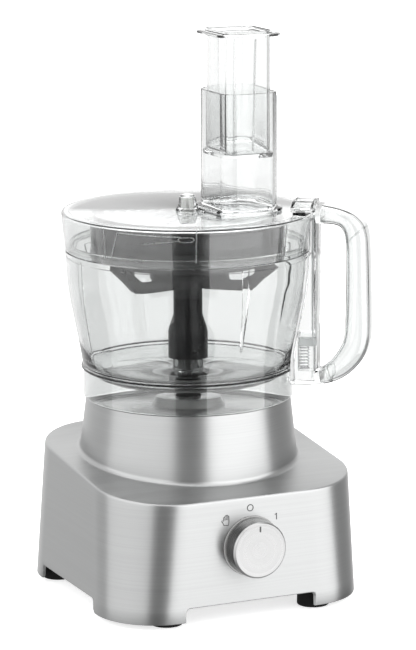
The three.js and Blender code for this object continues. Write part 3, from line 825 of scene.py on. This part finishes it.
def bowl_mod(r, z, th):
    """Four tapering ribs are moulded on the wall's inner side."""
    if r < 90 or z < 214 or z > 312 or r > wall(z) - 1.2:
        return r
    d = 0.0
    for a in RIB:
        x = ((th - a + math.pi) % (2 * math.pi) - math.pi) * r
        taper = max(0.0, min(1.0, (z - 236) / 72.0))
        wv = 1.3 + 2.9 * taper
        if abs(x) < wv:
            e = min(1.0, (wv - abs(x)) / 0.9)
            d = max(d, (0.8 + 1.9 * taper) * (e * e * (3 - 2 * e)) * min(1.0, taper * 10))
    return r - d


def bowl():
    prof = [(10.7, 196.5), (72.0, 196.5, 6), (83.0, 199.8, 10), (92.0, 205.2, 3), (94.9, 206.4, 1.0), (94.9, 178.7, 0.5), (97.9, 178.7, 0.7), (97.7, 204.6, 0.5),
            (99.5, 205.9, 0.5), (99.6, 207.6, 0.5), (98.3, 208.6, 0.5)]
    prof += [(r, z) for z, r in WB[2:]]
    prof += [(113.0, 311.0, 0.2), (113.7, 311.6, 0.25), (113.7, 316.2, 0.3), (110.5, 316.4, 0.2), (110.5, 320.0, 0.3), (107.8, 320.0, 0.3), (108.2, 312.5, 2.5)]
    prof += [(r - 2.9, z) for z, r in reversed(WB[3:-1])]
    prof += [(95.4, 216.5, 0), (93.6, 210.0, 6), (84.5, 203.2, 10), (72.0, 199.5, 8), (14.2, 199.5, 1.2), (13.6, 240.0, 0.8), (10.7, 240.0, 0.6)]
    p = rounded([q if len(q) == 3 else (q[0], q[1], 0) for q in prof], 4)
    # ribs need close spacing round the circle only where they are
    base = [2 * math.pi * i / 180 for i in range(180)]
    ths = set(round(a, 6) for a in base)
    for a in RIB:
        for k in range(-14, 15):
            ths.add(round((a + k * 0.0031) % (2 * math.pi), 6))
    ths = sorted(ths)
    verts, rings = [], []
    for (r, z) in p:
        ring = []
        for th in ths:
            rr = bowl_mod(r, z, th)
            ring.append((rr * math.cos(th), rr * math.sin(th), z))
        rings.append(ring)
    v, f = stack(rings, True)
    return add("bowl_clear", v, f, "clear", "bowl", ("bowl",), "clear_plastic", sharp=30)


bowl()
# dark ring let into the bead where the bowl meets its foot
lathe("bowl_foot_ring", rounded([(98.2, 205.9, 0.2), (99.75, 205.9, 0.35), (99.75, 207.4, 0.35), (98.2, 207.4, 0.2)], 3), 240, "black", "bowl", (), "plastic_black")

# ------------------------------------------------------------------ lid
NR_LID = 220
lid_prof = rounded([(0, 350.2, 0), (5.9, 350.2, 0.3), (6.3, 350.2, 0.2), (6.3, 364.2, 0.5), (0.0, 364.2, 0)], 3)


def lid_and_nose():
    HA = rad(-38)
    outer = rounded([(6.65, 353.0, 0.1), (109.8, 353.0, 0.3), (110.4, 352.75, 0.3), (115.9, 352.3, 1.0), (116.9, 350.6, 0.7), (116.75, 347.5, 0), (115.2, 332.0, 0), (113.8, 317.1, 0.35), (111.35, 317.1, 0.3),
                     (112.8, 332.0, 0), (114.35, 348.0, 0), (114.45, 350.2, 0.7), (6.65, 350.2, 0.1)], 4)
    # solid lid plate and skirt; the chute's mouth is cut with a boolean
    o = lathe("lid_clear", [(r if r > 1e-6 else 0.0, z) for r, z in outer], NR_LID, "clear_lid", "lid", (), "clear_plastic", sharp=30)
    return o


lid = lid_and_nose()
CX, CY = 43.9, -17.5


def cutter(levels, cx, cy):
    v, f = stack([rr_ring(w, d, r, z, cx, cy, 12) for w, d, r, z in levels], False, True, True)
    me = bpy.data.meshes.new("cut")
    me.from_pydata([W(p) for p in v], [], f)
    o = bpy.data.objects.new("cut", me)
    bpy.context.scene.collection.objects.link(o)
    bm = bmesh.new()
    bm.from_mesh(me)
    bmesh.ops.recalc_face_normals(bm, faces=bm.faces)
    bm.to_mesh(me)
    bm.free()
    return o


def apply_bool(o, others, op="DIFFERENCE"):
    for c in others:
        md = o.modifiers.new("b", "BOOLEAN")
        md.object = c
        md.operation = op
        md.solver = "MANIFOLD" if op == "UNION" else "EXACT"
        if op == "UNION":
            md.material_mode = "TRANSFER"
    dg = bpy.context.evaluated_depsgraph_get()
    me = bpy.data.meshes.new_from_object(o.evaluated_get(dg))
    o.modifiers.clear()
    old = o.data
    o.data = me
    bpy.data.meshes.remove(old)
    for c in others:
        bpy.data.objects.remove(c)
    o.data.polygons.foreach_set("use_smooth", [True] * len(o.data.polygons))
    o.data.set_sharp_from_angle(angle=rad(30))


apply_bool(lid, [cutter([(51, 63, 12.5, 345), (51, 63, 12.5, 356)], CX, CY)])
nose_o = rounded([(17.8, 352.5, 0.8), (5, 352.5, 2), (-17.8, 355.8, 0.8), (-17.8, 360.5, 2.2), (-12, 365.5, 2.5), (-4, 366.9, 3), (4, 366.9, 3), (12, 365.5, 2.5), (17.8, 360.5, 2.2)], 4)
nose = plate2d("nose", [nose_o], 20.2, 0.8, lambda x, y, t: on_handle(math.sqrt((112.5 + t) ** 2 - x * x), y, x), "clear_nose")
web = plate2d("nose_web", [rounded([(-17.6, 351.4, 0.4), (17.6, 351.4, 0.4), (17.6, 356.8, 0.8), (-17.6, 356.8, 0.8)], 3)], 11.8, 0.4, lambda x, y, t: on_handle(math.sqrt((110.3 + t) ** 2 - x * x), y, x), "clear_nose")
apply_bool(lid, [nose, web], "UNION")
# the nose is a hollow moulding
nose_i = rounded([(15.6, 354.9, 0.6), (5.2, 354.9, 1.5), (-15.6, 357.9, 0.5), (-15.6, 360.0, 1.2), (-11.2, 363.6, 2), (-3.8, 364.8, 2), (3.8, 364.8, 2), (11.2, 363.6, 2), (15.6, 360.0, 1.2)], 3)
hollow = plate2d("nose_hollow", [nose_i], 15.4, 0.6, lambda x, y, t: on_handle(math.sqrt((112.5 + t) ** 2 - x * x), y, x), "clear_nose")
apply_bool(lid, [hollow])
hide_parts("lid_cover")


def skirt_r(z):
    return 113.8 + (z - 317.1) * 3.1 / 33.5


def ridge(name, pts, wid, hgt, body, surf, closed=False, mat="frost", slot="clear_plastic"):
    """A fine raised line moulded on a turned surface: pts are (azimuth deg, z)."""
    fine = []
    m = len(pts)
    for i in range(m if closed else m - 1):
        (a0, z0), (a1, z1) = pts[i], pts[(i + 1) % m]
        k = max(1, int(max(abs(a1 - a0) / 1.5, abs(z1 - z0) / 3.0)))
        for j in range(k):
            fine.append((a0 + (a1 - a0) * j / k, z0 + (z1 - z0) * j / k))
    if not closed:
        fine.append(pts[-1])
    n = len(fine)
    C = [Vector((surf(z) * math.cos(rad(a)), surf(z) * math.sin(rad(a)), z)) for a, z in fine]
    rings = []
    for i in range(n):
        p = C[i]
        d = (C[(i + 1) % n] - C[i - 1]) if closed else (C[min(i + 1, n - 1)] - C[max(i - 1, 0)])
        d.normalize()
        out = Vector((p.x, p.y, 0)).normalized()
        side = d.cross(out).normalized()
        sec = [(-0.5, -0.25), (-0.5, 0.0), (-0.32, 0.75), (0.0, 1.0), (0.32, 0.75), (0.5, 0.0), (0.5, -0.25)]
        rings.append([tuple(p + side * (u_ * wid) + out * (v_ * hgt)) for u_, v_ in sec])
    v, f = stack(rings, closed, not closed, not closed)
    return add(name, v, f, mat, body, (), slot, sharp=60)


ridge("lid_lug_line_a", [(-117.4, 346.6), (-146.2, 347.8), (-147.2, 347.0), (-151.0, 324.0), (-134.0, 323.5)], 0.9, 0.3, "lid", skirt_r)
ridge("lid_lug_line_b", [(-134.0, 339.2), (-117.4, 343.0)], 0.7, 0.28, "lid", skirt_r)
oval = [(-114.9 + 3.5 * math.copysign(abs(math.cos(q)) ** 0.55, math.cos(q)), 343.9 + 2.2 * math.copysign(abs(math.sin(q)) ** 0.8, math.sin(q))) for q in [2 * math.pi * i / 28 for i in range(28)]]
ridge("lid_oval", oval, 0.8, 0.32, "lid", skirt_r, closed=True)
ridge("lid_line_front", [(-110.3, 352.0), (-110.4, 322.6)], 1.0, 0.3, "lid", skirt_r)
ridge("lid_line_right_a", [(-66.2, 350.6), (-66.2, 321.0)], 1.0, 0.3, "lid", skirt_r)
ridge("lid_line_right_b", [(-64.2, 350.6), (-64.2, 321.0)], 1.0, 0.3, "lid", skirt_r)
ridge("lid_line_left", [(-154.5, 350.4), (-154.5, 322.0)], 0.8, 0.25, "lid", skirt_r)

# centre boss of the lid, over the stem's pin
lathe("lid_boss", rounded([(6.4, 353.2, 0.1), (11.2, 353.2, 0.3), (9.6, 354.6, 1.0), (8.7, 358, 1.0), (7.2, 365.4, 1.8), (0, 367.6, 0), (0, 364.4, 0), (6.4, 364.4, 0.6)], 4), 72, "clear_lid", "lid", (), "clear_plastic")

# feed chute with its foot
ch = rr_solid("chute_clear", [
    (51, 63, 12.5, 353.4), (66, 76, 19, 353.4), (67.4, 77.4, 19.5, 353.9), (67.6, 77.6, 19.6, 355.2), (66.4, 76.6, 19.2, 356.2), (60.5, 72, 17.2, 356.8),
    (57.6, 69.6, 15.9, 357.6), (56.4, 68.4, 15.2, 359.2), (56, 68, 15, 362), (56, 68, 15, 461.6), (55.6, 67.6, 14.8, 462.7), (54.8, 66.8, 14.4, 463),
    (52.2, 64.2, 13.1, 463), (51.3, 63.3, 12.65, 462.6), (51, 63, 12.5, 461.4)], "clear_chute", "lid", ("feed_chute",), "clear_plastic", CX, CY, 12)

# pusher
PZ0 = (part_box("pusher")[0][2] - OZ) * 1000
PZ1 = (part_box("pusher")[1][2] - OZ) * 1000
pu = rr_solid("pusher_clear", [
    (0.02, 0.02, 0.008, PZ0 + 0.1), (47.5, 59.5, 11.0, PZ0), (49.4, 61.4, 11.7, PZ0 + 0.4), (50, 62, 12, PZ0 + 1.4), (50, 62, 12, PZ0 + 3.2), (49.2, 61.2, 11.6, PZ0 + 4.0),
    (46.2, 57.2, 10.6, PZ0 + 4.4), (45.2, 56.2, 10.1, PZ0 + 5.2), (45, 56, 10, PZ0 + 7), (45, 56, 10, PZ1 - 6.0), (45.6, 56.6, 10.3, PZ1 - 5.0), (61.8, 73.8, 17.4, PZ1 - 4.5), (62.8, 74.8, 17.9, PZ1 - 4.0),
    (63, 75, 18, PZ1 - 3.4), (62.6, 74.6, 17.8, PZ1 - 2.7), (61.6, 73.6, 17.4, PZ1 - 2.4), (48.8, 59.8, 11.8, PZ1 - 2.2), (48, 59, 11.5, PZ1 - 1.6), (48, 59, 11.5, PZ1 - 0.6), (47.4, 58.4, 11.2, PZ1),
    (46.0, 57.0, 10.5, PZ1), (45.2, 56.2, 10.1, PZ1 - 0.6), (41.4, 52.4, 8.2, PZ1 - 4.0), (40.6, 51.6, 7.8, PZ1 - 6.5), (40.6, 51.6, 7.8, PZ0 + 4.5), (39.6, 50.6, 7.3, PZ0 + 3.0),
    (37.6, 48.6, 6.3, PZ0 + 2.4), (0.02, 0.02, 0.008, PZ0 + 2.4)], "clear_chute", "pusher", ("pusher",), "clear_plastic", CX, CY, 12)


def bar(name, x0, y0, z0, x1, y1, z1, wx, wy, mat, body, slot):
    """A thin upright fin from (x0, y0, z0) to (x1, y1, z1), rounded a little at its free edges."""
    rr = []
    for q in (0.0, 0.015, 0.985, 1.0):
        e = 0.7 if q in (0.0, 1.0) else 1.0
        cx_, cy_, z_ = x0 + (x1 - x0) * q, y0 + (y1 - y0) * q, z0 + (z1 - z0) * q
        rr.append([(cx_ + a * wx * e / 2, cy_ + b * wy * e / 2, z_) for a, b in ((1, 0.8), (0.7, 1), (-0.7, 1), (-1, 0.8), (-1, -0.8), (-0.7, -1), (0.7, -1), (1, -0.8))])
    v, f = stack(rr, False, True, True)
    return add(name, v, f, mat, body, (), slot, sharp=40)


bar("pusher_fin_1", 46.6, -41.6, PZ0 + 5.5, 49.6, -41.6, PZ1 - 7.0, 1.1, 3.0, "clear_fin", "pusher", "clear_plastic")
bar("pusher_fin_2", 27.5, -42.4, PZ0 + 5.5, 28.6, -42.4, PZ1 - 7.0, 0.7, 1.4, "clear_chute", "pusher", "clear_plastic")
bar("pusher_fin_3", 35.5, 5.8, PZ0 + 5.5, 35.5, 5.8, PZ1 - 7.0, 0.7, 4.0, "clear_chute", "pusher", "clear_plastic")
bar("chute_fin_1", 66.3, -51.75, 362.0, 66.3, -51.75, 461.0, 0.9, 0.5, "clear_fin", "lid", "clear_plastic")
bar("chute_fin_2", 68.9, -49.6, 362.0, 68.9, -49.6, 461.0, 0.7, 0.5, "clear_chute", "lid", "clear_plastic")

# ------------------------------------------------------------------ drive stem, carrier, grating disc
lathe("stem_black", rounded([(0, 264.2, 0), (10.5, 264.2, 0.4), (10.5, 242.6, 0.2), (14.3, 242.4, 0.2), (14.3, 213.2, 0.4), (18.5, 213, 0.6), (18.5, 238, 1.5), (17.3, 243, 3),
                             (13.6, 254, 5), (13.4, 281.8, 0.3), (12, 281.9, 0.2), (12, 345.6, 0.6), (3.4, 346.2, 0.4), (3.2, 360, 1.0), (0, 361, 0)], 4), 96, "black", "tool", ("drive_stem",), "plastic_black")
lathe("carrier_hub", rounded([(12.3, 282.4, 0.3), (16.5, 282.4, 0.5), (16.5, 291.8, 0.4), (34.2, 291.8, 1.2), (35, 294.5, 0.5), (35, 314.8, 1.4), (20, 321.6, 2.0), (20, 345.8, 0.6), (12.3, 345.8, 0.4)], 4), 96,
      "black", "tool", ("disc_carrier",), "plastic_black")
lathe("carrier_drum", rounded([(87.3, 308.7, 0.5), (88.6, 308.7, 0.5), (89.0, 311.5, 0.4), (89.7, 315.7, 0.6), (89.7, 341.4, 0.3), (89.2, 342.0, 0.2), (89.7, 342.6, 0.3), (89.7, 345.9, 0.5), (87.3, 345.9, 0.4)], 3), 200,
      "drum", "tool", (), "plastic_black")
for k_, d_ in enumerate((75.8, -44.2, -164.2)):
    ca, sa = math.cos(rad(d_)), math.sin(rad(d_))
    arm_out = rounded([(15.5, 282.5, 0.4), (60.5, 282.5, 3), (64.4, 284.3, 4), (88.0, 307.6, 2), (88.0, 315.1, 1.0), (15.5, 315.1, 0.5)], 4)
    arm_win = rounded([(40, 292.3, 2.5), (56, 292.3, 3), (66, 302, 3), (66, 309, 2.5), (38.5, 309, 2.5), (38.5, 299, 3)], 4)
    plate2d("carrier_arm_%d" % (k_ + 1), [arm_out, arm_win], 8.8, 0.8, lambda x, y, t, ca=ca, sa=sa: (x * ca - t * sa, x * sa + t * ca, y), "black", "tool", (), "plastic_black")
    # stiffening flange along the lower edge of each arm
    fl = rounded([(18, -6.4, 1), (58, -6.4, 3), (64, 0, 2), (58, 6.4, 3), (18, 6.4, 1)], 3)
    plate2d("carrier_arm_foot_%d" % (k_ + 1), [fl], 2.2, 0.5, lambda x, y, t, ca=ca, sa=sa: (x * ca - y * sa, x * sa + y * ca, 283.6 + t), "black", "tool", (), "plastic_black")


def circ(cx, cy, r, n=14, a0=0.0):
    return [(cx + r * math.cos(a0 + 2 * math.pi * i / n), cy + r * math.sin(a0 + 2 * math.pi * i / n)) for i in range(n)]


holes, lips_v, lips_f = [], [], []
for ring_r, cnt in ((27, 12), (37, 16), (47, 20), (57, 26), (67, 30), (77, 34)):
    for i in range(cnt):
        a = 2 * math.pi * (i + 0.5 * (ring_r % 20 == 7)) / cnt
        hx, hy = ring_r * math.cos(a), ring_r * math.sin(a)
        holes.append(circ(hx, hy, 2.5, 12, a))
        # raised lip on the cutting side of each hole
        st = len(lips_v)
        K = 8
        for k in range(K + 1):
            q = k / K
            b = a + math.pi / 2 - math.pi * 0.42 + math.pi * 0.84 * q
            hgt = 0.15 + 0.85 * math.sin(math.pi * q)
            for rr, zz in ((2.55, 347.9), (3.5, 347.9), (2.75, 347.95 + hgt)):
                lips_v.append((hx + rr * math.cos(b), hy + rr * math.sin(b), zz))
        for k in range(K):
            o0, o1 = st + 3 * k, st + 3 * (k + 1)
            for u_, v_ in ((0, 1), (1, 2), (2, 0)):
                lips_f.append((o0 + u_, o0 + v_, o1 + v_, o1 + u_))
        lips_f.append((st, st + 1, st + 2))
        lips_f.append((st + 3 * K + 2, st + 3 * K + 1, st + 3 * K))
plate2d("disc_plate", [circ(0, 0, 89.8, 200), circ(0, 0, 12.6, 64)] + holes, 1.6, 0.3, lambda x, y, t: (x, y, 347.15 + t), "disc", "tool", ("grating_disc",), "disc_steel")
add("disc_lips", lips_v, lips_f, "disc", "tool", (), "disc_steel", sharp=45)
# turned-up centre collar of the disc
lathe("disc_collar", rounded([(12.6, 347.9, 0.1), (19.0, 347.9, 0.3), (17.6, 348.8, 0.4), (12.6, 349.2, 0.4)], 3), 80, "disc", "tool", (), "disc_steel")

# ------------------------------------------------------------------ handle column, rod, spring, grip
def ch(z):
    return wall(z)


col_pts = [(100.6, 194, 0.8), (121.3, 194, 1.5), (123, 196, 1.0), (123, 349, 0.8), (117.8, 349, 0.8), (117.8, 318, 2), (114.4, 311, 2), (114.1, 300, 6)]
col_pts += [(ch(z) + 0.75, z, 0) for z in (292, 286, 279, 272, 264, 256, 247, 238, 229, 220)] + [(100.6, 211.5, 1.0)]
column = plate2d("column_clear", [rounded(col_pts, 4)], 32, 1.3, on_handle, "clear_column", "bowl", ("handle_column",), "clear_plastic")


def hbox(r0, r1, z0, z1, w, bev=0.0):
    pts = [(r0, z0, bev), (r1, z0, bev), (r1, z1, bev), (r0, z1, bev)]
    o = plate2d("cutbox", [rounded(pts, 3)], w, max(bev * 0.6, 0.05), on_handle, "clear_thick")
    return o


apply_bool(column, [hbox(118.7, 121.8, 200, 352, 10.6), hbox(106.6, 121.8, 206.4, 243, 13, 0.8)])

rod_out = rounded([(107, 229.5, 0.6), (121.3, 229.5, 0.5), (121.3, 352, 1.1), (119.2, 352, 1.0), (119.2, 236.4, 1.5), (107, 236.4, 0.8)], 4)
plate2d("rod_white", [rod_out], 9.4, 0.5, on_handle, "rod", "interlock", ("interlock_rod",), "capacitor_white")

SPR_RHO, SPR_R, SPR_W, SPR_Z0, SPR_Z1 = 111.4, 4.1, 0.55, 206.8, 229.0


def spring():
    turns, per, ns = 6.5, 28, 8
    total = int((turns + 2.0) * per)
    pts = []
    for i in range(total + 1):
        a = 2 * math.pi * i / per
        u_ = a / (2 * math.pi)
        # closed end coils, then even pitch
        if u_ < 1.0:
            z = SPR_W + u_ * SPR_W * 2.0
        elif u_ > turns + 1.0:
            z = (SPR_Z1 - SPR_Z0) - SPR_W * 3.0 + (u_ - turns - 1.0) * SPR_W * 2.0
        else:
            q = (u_ - 1.0) / turns
            z = SPR_W * 3.0 + q * ((SPR_Z1 - SPR_Z0) - SPR_W * 6.0)
        pts.append(Vector((SPR_R * math.cos(a), SPR_R * math.sin(a), SPR_Z0 + z)))
    rings = []
    for i, p in enumerate(pts):
        d = (pts[min(i + 1, total)] - pts[max(i - 1, 0)]).normalized()
        out = Vector((p.x, p.y, 0)).normalized()
        side = d.cross(out).normalized()
        rings.append([tuple(p + out * SPR_W * 0.98 * math.cos(2 * math.pi * k / ns) + side * SPR_W * 0.98 * math.sin(2 * math.pi * k / ns) + Vector((SPR_RHO * HC, SPR_RHO * HS, 0))) for k in range(ns)])
    v, f = stack(rings, False, True, True)
    o = add("spring_wire", v, f, "steel", None, ("interlock_spring",), "steel", sharp=50)
    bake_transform(o)
    return o


spring()

G_OUT = [(123.3, 363), (146, 359.5), (158, 354.5), (165.5, 348), (169.6, 340), (171.2, 329), (172.6, 290), (173.4, 246), (172, 232.5), (167, 219.5), (158, 208.2), (147, 200), (134, 195), (123.3, 194)]
G_IN = [(123.3, 344.5), (142.5, 344.5), (147.6, 340), (150.4, 331), (151, 300), (150.2, 247), (148.6, 236), (144, 226.5), (137, 217.5), (130, 210.5), (123.3, 208)]


def resample(pts, n, sm=3):
    """Smooth the corners, then n points evenly along the line."""
    p = [Vector(q) for q in pts]
    for _ in range(sm):
        q = [p[0]]
        for a, b in zip(p, p[1:]):
            q += [a.lerp(b, 0.25), a.lerp(b, 0.75)]
        q.append(p[-1])
        p = q
    L = [0.0]
    for a, b in zip(p, p[1:]):
        L.append(L[-1] + (b - a).length)
    out, j = [], 0
    for i in range(n):
        s_ = L[-1] * i / (n - 1)
        while j < len(L) - 2 and L[j + 1] < s_:
            j += 1
        t_ = (s_ - L[j]) / max(1e-9, L[j + 1] - L[j])
        out.append(p[j].lerp(p[j + 1], max(0, min(1, t_))))
    return out


def grip():
    n = 90
    A, Bn = resample(G_OUT, n), resample(G_IN, n)

    def rings(inset, hw, i0, i1, rc):
        rr = []
        for i in range(i0, i1 + 1):
            a, b = A[i], Bn[i]
            c = (a + b) / 2
            d = (a - b)
            h = d.length / 2 - inset
            d.normalize()
            w_ = hw - inset
            r_ = min(rc, h * 0.95, w_ * 0.95)
            ring = []
            for sx, sy, a0 in ((1, 1, 0), (-1, 1, 90), (-1, -1, 180), (1, -1, 270)):
                for k in range(6):
                    ph = rad(a0 + 90.0 * k / 5)
                    uu = sx * (h - r_) + r_ * math.cos(ph)
                    tt = sy * (w_ - r_) + r_ * math.sin(ph)
                    q = c + d * uu
                    ring.append(on_handle(q.x, q.y, tt))
            rr.append(ring)
        return rr

    v1, f1 = stack(rings(0.15, 15, 0, n - 1, 8.0), False, True, True)
    v2, f2 = stack(rings(2.7, 15, 2, n - 3, 6.2), False, True, True)
    o = add("grip_clear", v1, f1, "clear_thick", "bowl", ("handle_grip",), "clear_plastic", sharp=35)
    # hollow inside: the same section set in, facing the hollow
    bm = bmesh.new()
    bm.from_mesh(o.data)
    if bm.calc_volume(signed=True) < 0:
        bmesh.ops.reverse_faces(bm, faces=bm.faces)
    vv = [bm.verts.new(W(p)) for p in v2]
    nf = []
    for f_ in f2:
        nf.append(bm.faces.new([vv[i] for i in f_]))
    bm.normal_update()
    # face the hollow: compare with the outward side of its own centre line
    test = bmesh.new()
    tv = [test.verts.new(W(p)) for p in v2]
    for f_ in f2:
        test.faces.new([tv[i] for i in f_])
    test.normal_update()
    if test.calc_volume(signed=True) > 0:
        bmesh.ops.reverse_faces(bm, faces=nf)
    test.free()
    for f_ in bm.faces:
        f_.smooth = True
    bm.to_mesh(o.data)
    bm.free()
    o.data.set_sharp_from_angle(angle=rad(35))
    return o


grip()


def grip_seam(name, i, half, hgt):
    """A raised band round the grip's section at station i of its length."""
    A, Bn = resample(G_OUT, 90), resample(G_IN, 90)
    a, b = A[i], Bn[i]
    c, d = (a + b) / 2, (a - b)
    h0 = d.length / 2
    d.normalize()
    tan = ((A[i + 1] + Bn[i + 1]) - (A[i - 1] + Bn[i - 1])).normalized()
    rr = []
    for along, out in ((-half, -0.3), (-half * 0.7, hgt), (half * 0.7, hgt), (half, -0.3)):
        h, w_, r_ = h0 - 0.15 + out, 14.85 + out, 8.0 + out
        r_ = min(r_, h * 0.95)
        ring = []
        for sx, sy, a0 in ((1, 1, 0), (-1, 1, 90), (-1, -1, 180), (1, -1, 270)):
            for k in range(6):
                ph = rad(a0 + 90.0 * k / 5)
                q = c + d * (sx * (h - r_) + r_ * math.cos(ph)) + tan * along
                ring.append(on_handle(q.x, q.y, sy * (w_ - r_) + r_ * math.sin(ph)))
        rr.append(ring)
    v, f = stack(rr, True)
    return add(name, v, f, "clear_thick", "bowl", (), "clear_plastic", sharp=40)


GA = resample(G_OUT, 90)
i_top = min(range(4, 86), key=lambda i: abs(GA[i].x - 168.4) + abs(GA[i].y - 343.0))
i_low = max(range(45, 86), key=lambda i: -abs(GA[i].x - 137.5) - 4 * (GA[i].y > 230))
grip_seam("grip_seam_top", i_top, 0.7, 0.25)
grip_seam("grip_seam_foot", i_low, 1.6, 0.1)

# strain-relief gland at the back
GX, GZ, GY = -62.0, 32.0, 114.4
def turn_back(name, prof, n, mat, body, replaces=(), slot=None):
    verts, faces = [], []
    for (r, h) in prof:
        for i in range(n):
            th = 2 * math.pi * i / n
            verts.append((GX + r * math.cos(th), GY + h, GZ + r * math.sin(th)))
    m = len(prof)
    for j in range(m):
        for i in range(n):
            k = (i + 1) % n
            a, b = j * n, ((j + 1) % m) * n
            faces.append((a + i, a + k, b + k, b + i))
    return add(name, verts, faces, mat, body, replaces, slot)


turn_back("gland_black", rounded([(3.6, -9, 0.2), (7.9, -9, 0.6), (7.9, 0.2, 0.1), (10.8, 0.2, 0.3), (10.8, 2.4, 0.6), (7.6, 4.6, 0.4), (6.9, 5.0, 0.2), (6.9, 6.0, 0.2), (6.5, 6.1, 0.1), (6.5, 7.0, 0.1), (6.7, 7.1, 0.1),
                                  (6.7, 8.2, 0.1), (6.2, 8.3, 0.1), (6.2, 9.1, 0.1), (6.3, 9.2, 0.1), (6.1, 11.0, 0.5), (5.6, 11.6, 0.3), (3.6, 11.6, 0.3)], 2), 56, "rubber", "base", ("cable_gland",), "rubber_black")

# coupling and shaft, seen when the bowl is off
def lobes(r, z, th):
    return r + (0.9 * max(0.0, math.cos(6 * th)) ** 6 if r > 8 else 0.0)


lathe("coupling_black", rounded([(7.15, 189.6, 0.2), (9.0, 189.6, 0.4), (9.0, 255.5, 1.5), (8.2, 257.9, 0.5), (7.15, 257.9, 0.3)], 3), 120, "black", "rotor", ("drive_coupling",), "plastic_black", mod=lobes)
lathe("shaft_steel", rounded([(0, 18, 0), (5.9, 18, 0.6), (5.9, 121.5, 0.3), (6.98, 123, 0.3), (6.98, 262, 0.9), (6.0, 263.4, 0.3), (0, 263.4, 0)], 3), 48, "steel", "rotor", ("motor_shaft",), "steel")

# seal ring and bush in the lid
slo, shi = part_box("lid_seal")
SZ0, SZ1 = (slo[2] - OZ) * 1000, (shi[2] - OZ) * 1000
lathe("seal_ring", rounded([(108.05, SZ0, 0.3), (110.7, SZ0, 0.3), (111.0, SZ0 + 3.1, 0.3), (109.4, SZ1 - 0.05, 0.3), (108.05, SZ0 + 2.6, 0.3)], 3), 160, "seal_clear", "lid_ring", ("lid_seal",), "seal_pale")
lathe("bush_white", rounded([(3.55, 350.9, 0.2), (6.05, 350.9, 0.3), (6.05, 363.5, 0.4), (3.55, 363.5, 0.2)], 3), 56, "white", "lid", ("lid_bush",), "capacitor_white")

# base plate with vent slots and holes at the feet
bp_o = []
for i in range(220):
    a = 2 * math.pi * i / 220
    r = radius_of(outline(0.12), 3.75, a)
    bp_o.append((r * math.cos(a), r * math.sin(a)))
bp_h = [[(x * 0 + i * 11 + dx, y) for dx, y in ((-2.4, -29.5), (-1.8, -31.6), (0, -32), (1.8, -31.6), (2.4, -29.5), (2.4, 29.5), (1.8, 31.6), (0, 32), (-1.8, 31.6), (-2.4, 29.5))] for i in range(-2, 3) for x in (0,)]
for nm in ("foot_front_left", "foot_front_right", "foot_back_left", "foot_back_right"):
    lo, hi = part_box(nm)
    bp_h.append(circ(((lo[0] + hi[0]) / 2 - OX) * 1000, ((lo[1] + hi[1]) / 2 - OY) * 1000, 2.6, 24))
plate2d("underplate", [bp_o] + bp_h, 2.3, 0.35, lambda x, y, t: (x, y, 15.0 + t), "dark", "base", ("base_plate",), "plastic_dark")
for i in range(1, 5):
    lo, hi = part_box("foot_screw_%d" % i)
    fx, fy = ((lo[0] + hi[0]) / 2 - OX) * 1000, ((lo[1] + hi[1]) / 2 - OY) * 1000
    lathe("screw_%d" % i, rounded([(0, 3.3, 0), (1.1, 3.1, 0.3), (1.3, 1.7, 0.2), (3.9, 1.7, 0.7), (4.6, 4.6, 0.3), (2, 4.8, 0.3), (2, 20.4, 0.4), (0, 21.4, 0)], 3), 40, "steel", "base", ("foot_screw_%d" % i,), "steel", cx=fx, cy=fy)

for key, mat in {
    "base_plate": "dark", "motor_stator": "lam", "winding_upper": "copper", "winding_lower": "copper", "motor_top_bracket": "alu_cast", "motor_bottom_bracket": "alu_cast",
    "bearing_upper": "steel", "bearing_lower": "steel", "run_capacitor": "white", "control_board": "board", "rotary_switch": "black", "interlock_sensor": "black", "cable_gland": "black",
    "rotor_core": "lam", "motor_shaft": "steel", "cooling_fan": "dark", "drive_coupling": "black", "handle_column": "clear_thick", "handle_grip": "clear_thick", "interlock_spring": "steel",
    "interlock_rod": "white", "drive_stem": "black", "disc_carrier": "black", "grating_disc": "disc", "lid_seal": "seal", "lid_bush": "white",
}.items():
    N[key].data.materials.clear()
    N[key].data.materials.append(MAT[mat])
for k in range(1, 5):
    for nm in ("foot_screw_%d" % k, "tie_bolt_%d" % k):
        N[nm].data.materials.clear()
        N[nm].data.materials.append(MAT["steel"])

# ------------------------------------------------------------------ floor
fme = bpy.data.meshes.new("floor")
fz = float(cad_lo[2]) - 0.0002
fme.from_pydata([(-20, -20, fz), (20, -20, fz), (20, 20, fz), (-20, 20, fz)], [], [(0, 1, 2, 3)])
floor = bpy.data.objects.new("floor", fme)
bpy.context.scene.collection.objects.link(floor)
fme.materials.append(fl_m)
# the soft boxes and the studio reach below the floor line in reflections
floor.visible_glossy = False
floor.visible_shadow = False
floor.visible_transmission = False
